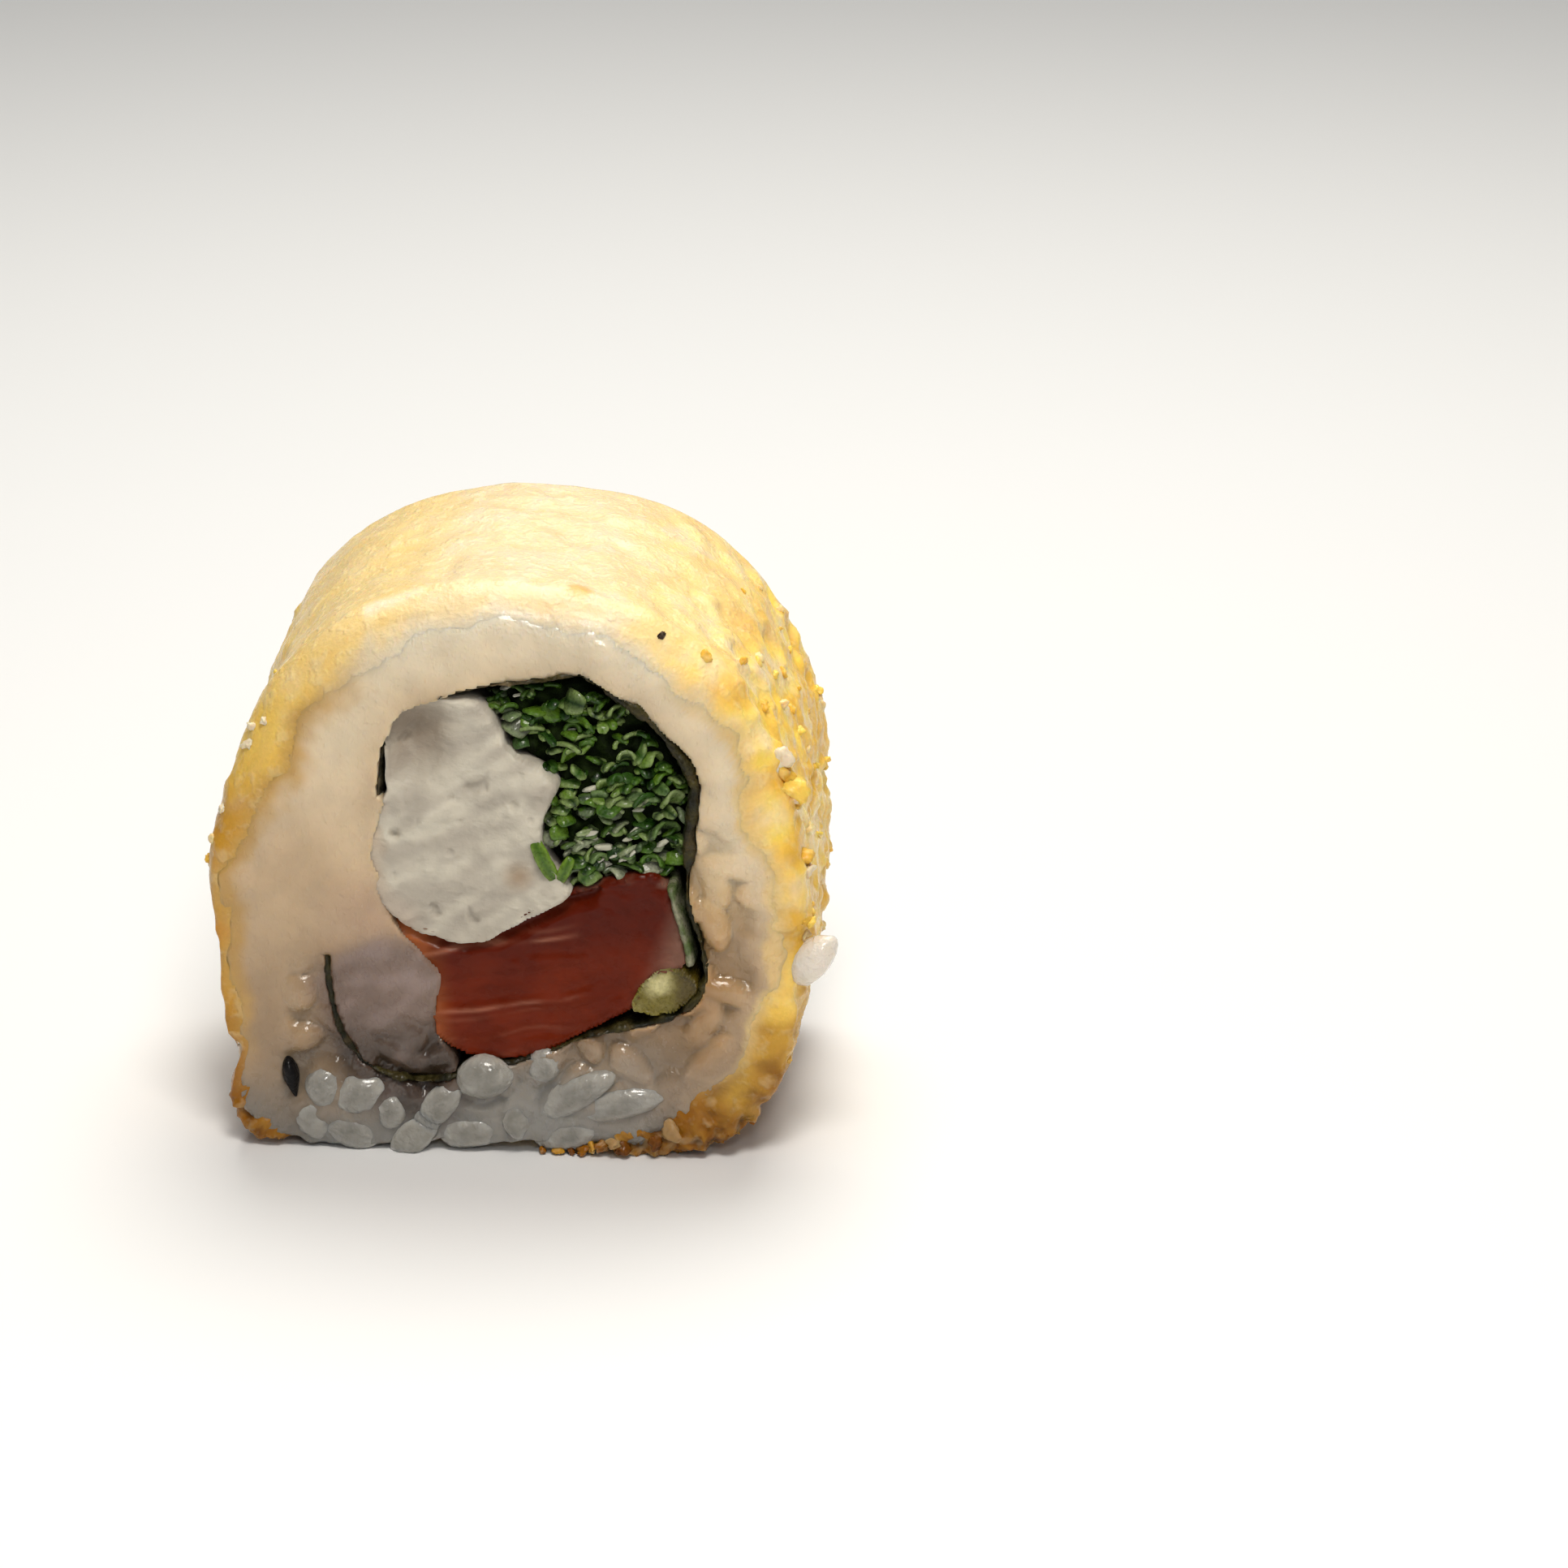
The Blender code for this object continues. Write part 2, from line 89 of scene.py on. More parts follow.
# Floor
# A plain pale sheet that runs out of sight on all sides, matt so that it gives only a soft bounce.
floor_mesh = bpy.data.meshes.new("floor")
sheet = bmesh.new()
bmesh.ops.create_grid(sheet, x_segments=1, y_segments=1, size=4.0)
sheet.to_mesh(floor_mesh)
sheet.free()
floor = placed("floor", floor_mesh)
floor_paint = bpy.data.materials.new("pale_floor")
floor_paint.use_nodes = True
floor_skin = floor_paint.node_tree.nodes["Principled BSDF"]
floor_skin.inputs["Base Color"].default_value = (0.86, 0.86, 0.86, 1.0)
floor_skin.inputs["Roughness"].default_value = 0.9
floor_mesh.materials.append(floor_paint)
floor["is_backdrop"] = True


# Lights
# A broad soft light stands above and behind the slice. Two small ones above its front draw the wet
# glints, and a weak one fills from the front. The room around them is evenly pale.
def soft_light(name, place, size, power, colour):
    lamp = bpy.data.lights.new(name, "AREA")
    lamp.shape = "DISK"
    lamp.size = size
    lamp.energy = power
    lamp.color = colour
    holder = placed(name, lamp)
    holder.location = Vector(place)
    point_at(holder, slice_middle)


soft_light("back_light", (0.02, 0.17, 0.36), 0.30, 1.3, (1.0, 0.97, 0.9))
soft_light("top_light", (0.03, -0.13, 0.23), 0.08, 0.34, (1.0, 0.95, 0.88))
soft_light("glint_light", (0.07, -0.30, 0.22), 0.05, 0.13, (1.0, 0.98, 0.95))
soft_light("front_fill", (0.20, -0.50, 0.16), 0.35, 0.04, (0.95, 0.97, 1.0))
room = bpy.data.worlds.new("pale_room")
bpy.context.scene.world = room
room.use_nodes = True
room.node_tree.nodes["Background"].inputs["Color"].default_value = (0.96, 0.98, 1.0, 1.0)
room.node_tree.nodes["Background"].inputs["Strength"].default_value = 0.185


# Rice
# Cooked sushi rice pressed into a ring, with the flap that curls in under the seaweed. On both cut faces
# the grains stand out of the sticky mass. The knife and the hot oil smeared them smooth at the top and
# on the left, and low down they stay clear and glassy.
def add_piece(name, mesh, slot, paint, *nodes):
    """Puts a finished mesh into the scene as one piece of the slice."""
    piece = placed(name, mesh)
    mesh.materials.clear()
    mesh.materials.append(paint)
    mesh.shade_smooth()
    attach(piece, "root")
    if nodes:
        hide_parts(*nodes)
    return piece


def baked(holder):
    """The mesh that an object's modifiers make of it. The object itself goes."""
    made = bpy.data.meshes.new_from_object(holder.evaluated_get(bpy.context.evaluated_depsgraph_get()))
    bpy.data.objects.remove(holder)
    return made


def dense_copy(node, cell, squeeze, grow, extra=None):
    """The node's solid as one even, dense skin. Cells are longer along the roll by the squeeze."""
    shell = bmesh.new()
    shell.from_mesh(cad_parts[node].data)
    bmesh.ops.remove_doubles(shell, verts=shell.verts, dist=1e-6)
    if extra:
        extra(shell)
    bmesh.ops.scale(shell, vec=(1.0, squeeze, 1.0), verts=shell.verts)
    mesh = bpy.data.meshes.new(node)
    shell.to_mesh(mesh)
    shell.free()
    holder = placed(node, mesh)
    remesh = holder.modifiers.new("even_cells", "REMESH")
    remesh.mode = "VOXEL"
    remesh.voxel_size = cell * MM
    if grow:
        swell = holder.modifiers.new("swell", "DISPLACE")
        swell.strength = grow * MM
        swell.mid_level = 0.0
    relax = holder.modifiers.new("relax", "SMOOTH")
    relax.factor = 0.5
    relax.iterations = 2
    made = baked(holder)
    made.transform(Matrix.Diagonal((1.0, 1.0 / squeeze, 1.0, 1.0)).to_4x4())
    return made


def places(mesh, kind="co"):
    """Each point's place, or its normal, as one row of three numbers."""
    found = np.empty(len(mesh.vertices) * 3, np.float32)
    mesh.vertices.foreach_get(kind, found)
    return found.reshape(-1, 3).astype(float)


def normals(mesh):
    return places(mesh, "normal")


def surface_of(thing):
    """The object's faces in a form that rays can be shot at."""
    return BVHTree.FromObject(thing, bpy.context.evaluated_depsgraph_get())


def set_places(mesh, points):
    mesh.vertices.foreach_set("co", points.astype(np.float32).ravel())
    mesh.update()


def set_tint(mesh, colour):
    """Writes one colour for each point, to be read by the paint."""
    layer = mesh.attributes.get("tint") or mesh.attributes.new("tint", "FLOAT_COLOR", "POINT")
    filled = np.ones((len(mesh.vertices), 4), np.float32)
    filled[:, :3] = np.clip(colour, 0.0, 1.0)
    layer.data.foreach_set("color", filled.ravel())


def set_share(mesh, name, share):
    """Writes one number for each point, to be read by the paint."""
    layer = mesh.attributes.new(name, "FLOAT", "POINT")
    layer.data.foreach_set("value", np.asarray(share, np.float32))


def soft_noise(scaled):
    return np.array([noise.noise(point) for point in scaled.tolist()])


def lumps(points, size, start=0.0):
    """Soft random lumps of that size in mm, from -1 to 1, at each point."""
    return soft_noise(points / (size * MM) + np.array((start, start * 1.7, start * 0.6)))


def slanted(points, angle, along, across):
    """The points of a face turned and squeezed, so that lumps on them become streaks."""
    lean = math.radians(angle)
    run = points[:, 0] * math.cos(lean) + points[:, 2] * math.sin(lean)
    rise = points[:, 2] * math.cos(lean) - points[:, 0] * math.sin(lean)
    return np.stack([run / along, points[:, 1] / 4.0, rise / across], 1)


def step(low, high, value):
    """0 below low, 1 above high and a smooth rise between."""
    share = np.clip((value - low) / (high - low), 0.0, 1.0)
    return share * share * (3.0 - 2.0 * share)


def ramp(low, high, value):
    """The same, with low and high in mm."""
    return step(low * MM, high * MM, value)


def fall(low, high, value):
    """1 below low, 0 above high and a smooth fall between, in mm."""
    return 1.0 - ramp(low, high, value)


def near(points, x, z, reach):
    """1 at that place of the cross-section, falling softly to 0 at the reach, all in mm."""
    away_from = np.hypot(points[:, 0] - x * MM, points[:, 2] - z * MM)
    return 1.0 - step(0.0, reach * MM, away_from)


def mixed(first, second, share):
    """Two colours for each point mixed by a share."""
    share = np.clip(np.asarray(share), 0.0, 1.0)[:, None]
    return np.asarray(first) * (1.0 - share) + np.asarray(second) * share


def layered(colour, *layers):
    """Lays tones over a colour one after the other, each by its share."""
    for tone, share in layers:
        colour = mixed(colour, tone, share)
    return colour


def turn_round(points):
    """The direction of each point from the middle of the cross-section."""
    return np.arctan2(points[:, 2] - slice_middle.z, points[:, 0])


def radius_round(points):
    return np.hypot(points[:, 0], points[:, 2] - slice_middle.z)


def edge_of(node, part):
    """How far the node reaches from the middle of the cross-section, at 48 directions."""
    corners = places(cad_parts[node].data)
    sector = np.floor((turn_round(corners) + math.pi) / math.tau * 48).clip(0, 47)
    radii = radius_round(corners)
    return np.array([np.percentile(radii[sector == number], part) for number in range(48)])


rice_edge = edge_of("rice", 100)
coat_edge = edge_of("tempura_coat", 85)
edge_turns = (np.arange(48) + 0.5) / 48 * math.tau - math.pi
cut_face = 13.85 * MM


def past_edge(points, edge):
    """How far each point lies outside that edge, or inside it where negative."""
    return radius_round(points) - np.interp(turn_round(points), edge_turns, edge, period=math.tau)


def crust_thickness(points):
    """How thick the batter is in each point's direction."""
    return np.interp(turn_round(points), edge_turns, coat_edge - rice_edge, period=math.tau)


def past_seam(points):
    """How far each point lies outside the seam of rice and batter, which strays to and fro."""
    flat = points * (1.0, 0.0, 1.0) + np.sign(points[:, 1:2]) * (0.0, 40.0 * MM, 0.0)
    stray = lumps(flat, 3.8, 41.0) * 1.3 + lumps(flat, 1.1, 43.0) * 0.5
    at_side = ramp(6.0, 12.0, np.abs(points[:, 0])) * fall(20.0, 28.0, points[:, 2])
    seam = np.clip(stray - 0.3 + 0.7 * at_side, -1.2, 1.0) * MM
    return past_edge(points, rice_edge) - np.minimum(seam, crust_thickness(points) - 0.75 * MM)


def squared_ends(verts, deepest, level):
    """Flattens both cut faces with all that stands on them, and squares their rims."""
    for vert in verts:
        if abs(vert.co.y) > deepest:
            vert.co.y = math.copysign(level, vert.co.y)


def face_share(points):
    """1 on a cut face and 0 behind its rim."""
    return ramp(12.9, 13.6, np.abs(points[:, 1]))


def end_share(points):
    """1 near a cut face and 0 deeper in the roll."""
    return ramp(11.0, 13.0, np.abs(points[:, 1]))


def pushed(points, outwards):
    """Moves each point away from the middle line of the roll."""
    turn = turn_round(points)
    return points + np.stack([np.cos(turn), np.zeros(len(turn)), np.sin(turn)], 1) * outwards[:, None]


def rim_reach(points):
    """The radius of the rim's rounding at each point, and how far the point is into it both ways."""
    top_share = ramp(19.0, 37.0, points[:, 2])
    radius = (1.1 + 3.6 * top_share * np.where(points[:, 1] < 0.0, 1.0, 0.6)) * MM
    inward = np.clip(radius + past_edge(points, coat_edge), 0.0, None)
    forward = np.clip(radius + np.abs(points[:, 1]) - cut_face, 0.0, None)
    return radius, inward, forward


def rounded_off(points):
    """Rounds the rims of the cut faces: broad and soft over the top, tight at the sides and below."""
    radius, inward, forward = rim_reach(points)
    scale = np.minimum(radius / np.maximum(np.hypot(inward, forward), 1e-9), 1.0)
    points = pushed(points, inward * (scale - 1.0))
    points[:, 1] += np.sign(points[:, 1]) * forward * (scale - 1.0)
    return points


def face_way(points):
    """The direction out of a cut face, which turns outwards on its rounded rim."""
    radius, inward, forward = rim_reach(points)
    length = np.maximum(np.hypot(inward, forward), 1e-9)
    turn = turn_round(points)
    along = np.sign(points[:, 1]) * forward / length
    return np.stack([np.cos(turn) * inward / length, along, np.sin(turn) * inward / length], 1)


def join_up(paint, value, socket):
    """Gives a socket a plain value, or links another node's output to it."""
    if isinstance(value, bpy.types.NodeSocket):
        paint.node_tree.links.new(value, socket)
    else:
        socket.default_value = value


def add_node(paint, kind, settings, **sockets):
    node = paint.node_tree.nodes.new("ShaderNode" + kind)
    for name, value in settings.items():
        setattr(node, name, value)
    for name, value in sockets.items():
        join_up(paint, value, node.inputs[name.replace("_", " ")])
    return node


def tinted_paint(name, glow=None, film=None, **sockets):
    """A paint and, to build on, the colour laid on the points. Glow is the light inside it: its share, its
    depth in mm and its colour. Film is what lies wet over it: its share and its roughness."""
    if glow:
        weight, depth, radius = glow
        sockets.update(Subsurface_Weight=weight, Subsurface_Scale=depth * MM, Subsurface_Radius=radius)
    if film:
        sockets.update(Coat_Weight=film[0], Coat_Roughness=film[1])
    paint = bpy.data.materials.new(name)
    paint.use_nodes = True
    for socket, value in sockets.items():
        paint.node_tree.nodes["Principled BSDF"].inputs[socket.replace("_", " ")].default_value = value
    tint = add_node(paint, "Attribute", {"attribute_name": "tint"})
    return paint, tint.outputs["Color"]


def spots(paint, size, low, high, detail=2.0, stretch=(1.0, 1.0, 1.0), turn=(0.0, 0.0, 0.0)):
    """Soft spots of that size in mm: 0 where the noise is under low and 1 where it is over high."""
    place = add_node(paint, "TexCoord", {})
    mapping = add_node(paint, "Mapping", {}, Vector=place.outputs["Object"], Rotation=turn, Scale=stretch)
    grain = add_node(
        paint, "TexNoise", {}, Vector=mapping.outputs["Vector"], Scale=1.0 / (size * MM), Detail=detail,
    )
    spread = add_node(
        paint, "MapRange", {"interpolation_type": "SMOOTHSTEP"},
        Value=grain.outputs["Fac"], From_Min=low, From_Max=high,
    )
    return spread.outputs["Result"]


def between(paint, share, low, high):
    """A number that runs from low to high with the share."""
    spread = add_node(paint, "MapRange", {}, Value=share, To_Min=low, To_Max=high)
    return spread.outputs["Result"]


def blended(paint, first, second, share):
    """Two colours mixed in the paint by a share."""
    mix = add_node(paint, "Mix", {"data_type": "RGBA"})
    for value, socket in zip((share, first, second), (mix.inputs[0], mix.inputs[6], mix.inputs[7])):
        join_up(paint, (*value, 1.0) if isinstance(value, tuple) else value, socket)
    return mix.outputs[2]


def darker(paint, colour, share, depth):
    """The colour scaled down to 1 - depth where the share is 0."""
    factor = between(paint, share, 1.0 - depth, 1.0)
    scale = add_node(paint, "VectorMath", {"operation": "SCALE"}, Scale=factor)
    join_up(paint, colour, scale.inputs[0])
    return scale.outputs["Vector"]


def finish(paint, colour, roughness, *layers):
    """Joins up a paint. Each layer of fine relief is a share and the depth in mm that it stands for."""
    skin = paint.node_tree.nodes["Principled BSDF"]
    join_up(paint, colour, skin.inputs["Base Color"])
    join_up(paint, roughness, skin.inputs["Roughness"])
    normal = None
    for share, depth in layers:
        bump = add_node(paint, "Bump", {}, Height=share, Distance=depth * MM)
        if normal:
            join_up(paint, normal, bump.inputs["Normal"])
        normal = bump.outputs["Normal"]
    join_up(paint, normal, skin.inputs["Normal"])


def mottled_paint(name, grain, dark, rough, relief, stretch=(1.0, 1.0, 1.0), **sockets):
    """A paint with one fine grain that darkens it, dulls it between two roughnesses and stands out by the
    relief in mm. The grain is given as its size in mm, the noise it starts at and its detail."""
    paint, tint = tinted_paint(name, **sockets)
    size, low, detail = grain
    share = spots(paint, size, low, 0.7, detail=detail, stretch=stretch)
    finish(paint, darker(paint, tint, share, dark), between(paint, share, *rough), (share, relief))
    return paint


grain_length = 5.0 * MM
grain_width = 2.4 * MM
bed_depth = 0.5 * MM
grains_on_a_face = 170
mound_height = 0.3 * MM
# Each row: x and z in mm, the angle in degrees, length and width in mm, how far out, and how light.
front_grains = (
    (-1.3, 6.3, 12.0, 4.4, 2.9, -0.2, 1.2), (1.1, 2.8, 82.0, 3.4, 2.0, -0.3, 1.1),
    (-6.8, 1.1, 42.0, 4.6, 2.2, 0.0, 1.4), (-4.7, 3.9, 52.0, 4.2, 2.1, -0.3, 1.15),
    (5.5, 5.1, 33.0, 6.8, 2.2, -0.4, 1.05), (8.6, 4.3, 15.0, 7.0, 2.3, -0.6, 1.0),
    (-13.3, 5.0, 70.0, 3.6, 2.6, -0.65, 0.95), (-10.7, 4.5, 25.0, 4.6, 2.8, -0.65, 1.05),
    (-11.6, 1.6, 160.0, 4.8, 2.5, -0.6, 0.95), (-14.4, 2.5, 130.0, 4.0, 2.4, -0.75, 0.95),
    (-2.4, 1.7, 5.0, 5.2, 2.5, -0.65, 1.0), (3.1, 7.2, 60.0, 3.2, 2.2, -0.65, 0.95),
    (4.9, 1.7, 10.0, 5.6, 2.3, -0.65, 0.95), (-8.6, 3.4, 100.0, 3.8, 2.3, -0.65, 1.0),
    (-5.6, 2.6, 60.0, 3.0, 1.8, -0.1, 1.3),
)


def lay_grains(draw):
    """Grains over one cut face: place, direction, tilt, depth of the middle, half sizes."""
    laid = []
    while len(laid) < grains_on_a_face:
        x = draw.uniform(-21.0, 21.0) * MM
        z = draw.uniform(0.3, 42.5) * MM
        spacing = (2.1 if len(laid) < grains_on_a_face * 0.75 else 1.5) * MM
        if any(math.hypot(x - other[0], z - other[1]) < spacing for other in laid):
            continue
        half_length = grain_length / 2 * draw.choice((0.6, 0.9, 1.0, 1.1))
        laid.append((
            x, z, draw.uniform(0.0, math.pi), draw.uniform(-0.15, 0.15),
            draw.uniform(-0.95, -0.5) * MM, half_length, grain_width / 2 * draw.uniform(0.85, 1.1),
        ))
    return laid


def grain_bed(x, z, laid, blend):
    """Height of the grains over the cut plane, and a number that tells neighbouring grains apart."""
    height = np.full(len(x), -bed_depth)
    tone = np.zeros(len(x))
    for centre_x, centre_z, angle, tilt, depth, half_length, half_width in laid:
        along = (x - centre_x) * math.cos(angle) + (z - centre_z) * math.sin(angle)
        across = (z - centre_z) * math.cos(angle) - (x - centre_x) * math.sin(angle)
        across = across - along ** 2 * 25.0
        within = 1.0 - np.abs(along / half_length) ** 2.4 - (across / half_width) ** 2
        inside = within > 0.0
        top = depth + half_width * 0.9 * np.sqrt(np.where(inside, within, 0.0)) + tilt * along
        top = np.where(inside, top, -1.0)
        gap = np.clip(1.0 - np.abs(top - height) / blend, 0.0, None)
        tone = np.where(top > height, math.sin(centre_x * 9e4 + centre_z * 7e4), tone)
        height = np.maximum(height, top) + blend / 4.0 * gap ** 2
    return height, tone


def smeared(points):
    """1 where the rice is smeared smooth, at the top and on the left, 0 where its grains stay whole."""
    on_right = ramp(9.0, 16.0, points[:, 0])
    rise = points[:, 2] + lumps(points, 6.0, 2.0) * 5.0 * MM - on_right * 12.0 * MM
    rise += near(points, -9.5, 13.0, 9.0) * 9.0 * MM
    rise += fall(-17.0, -14.5, points[:, 0]) * 11.0 * MM
    return ramp(6.0, 21.0, rise)


def smear_over(points):
    """How far rice and cheese are smeared over the seaweed, in mm: right over it at the upper left."""
    x, z = points[:, 0], points[:, 2]
    over_left = fall(-5.0, -2.5, x) * ramp(31.5, 33.5, z) * 0.4
    at_left = fall(-8.0, -6.5, x) * ramp(16.0, 18.5, z)
    at_left = at_left * fall(27.0, 29.0, z) * 0.35
    bare = ramp(11.5, 13.0, x) * ramp(22.0, 24.0, z) * -0.35
    flat = points * (1.0, 0.0, 1.0)
    return lumps(flat, 1.6, 51.0) * 0.16 + 0.16 + over_left + at_left + bare


rice = dense_copy(
    "rice", 0.2, 0.25, 0.3, lambda shell: squared_ends(shell.verts, 12.9 * MM, 13.55 * MM),
)
points = places(rice)
side = np.sign(points[:, 1])
lying = face_share(points)
points[:, 1] += (side * cut_face - points[:, 1]) * lying
by_face = end_share(points)
past = past_edge(points, rice_edge)
inner = by_face * fall(-2.4, -1.6, past)
points = points + normals(rice) * (1.0, 0.0, 1.0) * (smear_over(points) * inner * MM)[:, None]
flange = np.clip(crust_thickness(points) - 0.75 * MM, 0.2 * MM, 1.8 * MM)
flange += 1.2 * MM * ramp(19.0, 37.0, points[:, 2])
points = rounded_off(pushed(points, ramp(-2.5, -0.1, past) * flange * lying))
flat = points * (1.0, 0.0, 1.0) + side[:, None] * (0.0, cut_face, 0.0)
smear = smeared(flat)
tones = np.zeros(len(points))
height = np.zeros(len(points))
draw = random.Random(5)
for end in (-1.0, 1.0):
    chosen = (lying > 0.0) & (side == end)
    x, y, z = points[chosen].T
    height[chosen], tones[chosen] = grain_bed(x, z, lay_grains(draw), (0.35 + 0.5 * smear[chosen]) * MM)
over = past_seam(points)
height = height * (1.05 - 0.97 * smear)
for centre_x, centre_z, angle, length, width, out, light in front_grains:
    from_grain = flat - np.array((centre_x, 0.0, centre_z)) * MM
    around = slanted(from_grain, angle, length * MM / 2, width * MM / 2)
    under = np.exp(-((around[:, 0] ** 2 + around[:, 2] ** 2) ** 2) * 0.4) * (side < 0.0)
    height = height * (1.0 - under) + mound_height * under ** 2
height += lumps(flat, 1.8, 7.0) * 0.06 * MM
height += lumps(flat, 0.95, 93.0) * (0.02 + 0.13 * (1.0 - smear)) * MM
height = height * fall(-2.6, -0.8, over)
# Painted shade: the low hollows between whole grains, to be darkened below.
painted_hollow_shade = ramp(0.1, -0.4, height) * lying * (1.0 - smear)
height += lumps(flat, 5.0) * 0.3 * MM
radius, inward, forward = rim_reach(points)
on_rim = step(0.9, 0.99, np.hypot(inward, forward) / radius)
sunk = np.clip(over, 0.0, 0.5 * MM) * 0.14 + np.clip(over - 0.5 * MM, 0.0, 2.0 * MM)
height = height * lying - sunk * np.maximum(lying, on_rim)
points = points + face_way(points) * height[:, None]
within = (0.5 + 0.75 * fall(9.5, 12.0, points[:, 2])) * MM
too_far = np.clip(past_edge(points, coat_edge) + within, 0.0, None) * ramp(3.0, 5.0, points[:, 2])
points = pushed(points, -too_far * fall(19.0, 30.0, points[:, 2]))
uneven = ramp(11.5, 13.5, np.abs(points[:, 1])) * np.abs(lumps(flat, 1.7, 29.0)) * 0.9 * MM
points[:, 2] = np.maximum(points[:, 2], 0.12 * MM + uneven)
set_places(rice, points)

bright_cream = (0.76, 0.67, 0.51)
warm_cream = (0.77, 0.645, 0.45)
tan_starch = (0.66, 0.485, 0.30)
mauve_film = (0.21, 0.14, 0.112)
dark_film_and_shade = (0.07, 0.045, 0.032)
glass_grey_and_shade = (0.315, 0.30, 0.272)
brown_starch_and_shade = (0.40, 0.27, 0.155)
pale_film = (0.34, 0.25, 0.22)
pink_rice = (0.42, 0.27, 0.19)
golden_left = (0.58, 0.35, 0.10)
golden_right = (0.78, 0.56, 0.25)


def rim_colour(points):
    """The tone that rice and batter share along their seam: cream on top, golden at the sides."""
    z = points[:, 2] + lumps(points, 3.0, 27.0) * 3.0 * MM
    # Partly painted shade: the gold is darker on the left.
    colour = mixed(golden_left, golden_right, ramp(-8.0, 8.0, points[:, 0]))
    colour = mixed(colour, bright_cream, ramp(29.0, 39.0, z - np.abs(points[:, 0]) * 0.25))
    return mixed(tan_starch, colour, ramp(2.0, 12.0, z))


x, y, z = points.T
wander = lumps(points, 5.0, 5.0)
off_middle = np.maximum((x - 2.0 * MM) * 0.35, (2.0 * MM - x) * 0.22)
low_down = fall(3.0, 14.0, z + wander * 3.0 * MM + off_middle)
flap = np.hypot((x + 7.4 * MM) / 7.2, (z - 11.0 * MM) / 8.8) / MM
in_flap = 1.0 - step(0.7, 1.15, flap + wander * 0.2 + ramp(13.0, 20.0, z) * 0.25)
glassy = step(-0.1, 0.6, lumps(slanted(points, 35.0, 1.5, 0.8), 1.5, 81.0)) * in_flap
# How near the seaweed each point lies, for a painted shade along it.
painted_shade_by_seaweed = np.zeros(len(points))
seaweed_tree = surface_of(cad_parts["nori_sheet"])
for number in np.flatnonzero(lying > 0.5):
    painted_shade_by_seaweed[number] = 1.0 - min(seaweed_tree.find_nearest(Vector(flat[number]))[3] / (2.2 * MM), 1.0)
over = past_seam(points)
oil_edge = step(-1.8 * MM + 1.0 * MM * (x > 0.0), 0.0, over)
# Partly painted light and shade: the rice rises from tan to cream and bright cream at the top rim, and is
# browner and greyer low down and darkest at the foot of the flap. The rest is its own starch, its clear
# grains and the seaweed under the flap.
colour = layered(
    tan_starch,
    (warm_cream, ramp(17.0, 33.0, z + wander * 4.0 * MM + x * 0.25)),
    (bright_cream, ramp(37.5, 41.5, z + wander * MM + np.abs(x) * 0.2) * 0.8),
)
colour = layered(
    mixed(brown_starch_and_shade, colour, ramp(5.0, 24.0, z + wander * 3.0 * MM)),
    (glass_grey_and_shade, low_down),
    (mixed(dark_film_and_shade, mauve_film, ramp(7.5, 12.5, z)), in_flap * 0.95),
    (pale_film, glassy * (0.25 + 0.5 * ramp(8.0, 14.0, z))),
)
# Painted shade: within about 2 mm of the seaweed the rice is browner and darker.
colour = layered(
    mixed(colour, colour * (0.74, 0.64, 0.54), painted_shade_by_seaweed ** 1.5 * (0.6 + 0.4 * wander)),
    (pink_rice, near(points, -9.5, 18.5, 6.0) * (1.0 - in_flap) * 0.55),
    (rim_colour(points), oil_edge * ramp(4.0, 12.0, z)),
)
# Painted shade darkens the hollows between the grains.
colour = colour * (1.0 - 0.26 * painted_hollow_shade)[:, None]
# Painted shade: the rice is darker on the left.
left_share = fall(-14.0, -9.0, x) * fall(20.0, 30.0, z)
colour = colour * (1.0 - 0.09 * left_share)[:, None]
right_share = ramp(10.0, 15.0, x) * ramp(5.0, 10.0, z)
right_share *= fall(19.0, 28.0, z) * ramp(-0.5, -3.5, over)
colour = mixed(colour, colour * (0.88, 0.79, 0.64), right_share)
# Painted shade: darker along the very bottom, reaching higher on the left.
colour = colour * (0.84 + 0.16 * ramp(0.5, 3.5, z + np.clip(x, -9.0 * MM, 0.0) * 0.3))[:, None]
set_share(rice, "wetness", (1.0 - smear) * 0.9 + 0.4 * in_flap + 0.3 * lumps(points, 2.5, 83.0))
set_tint(rice, colour * (1.0 + 0.12 * tones * (1.0 - 0.8 * smear))[:, None])

rice_paint, tint = tinted_paint(
    "sticky_rice", glow=(0.8, 0.7, (1.0, 0.72, 0.42)), film=(0.5, 0.07), Specular_IOR_Level=0.35,
)
wetness = add_node(rice_paint, "Attribute", {"attribute_name": "wetness"}).outputs["Fac"]
mottle = spots(rice_paint, 2.2, 0.3, 0.7)
damp = spots(rice_paint, 0.7, 0.4, 0.65)
sheen = spots(rice_paint, 0.35, 0.55, 0.75, detail=1.0, stretch=(1.3, 1.0, 0.7))
dryness = add_node(rice_paint, "Math", {"operation": "MULTIPLY"})
join_up(rice_paint, between(rice_paint, wetness, 1.0, 0.4), dryness.inputs[0])
join_up(rice_paint, between(rice_paint, damp, 0.34, 0.55), dryness.inputs[1])
tint = darker(rice_paint, tint, mottle, 0.09)
finish(rice_paint, tint, dryness.outputs["Value"], (damp, 0.035), (sheen, 0.025))
rice_ring = add_piece("rice_ring", rice, "sushi_rice", rice_paint, "rice")


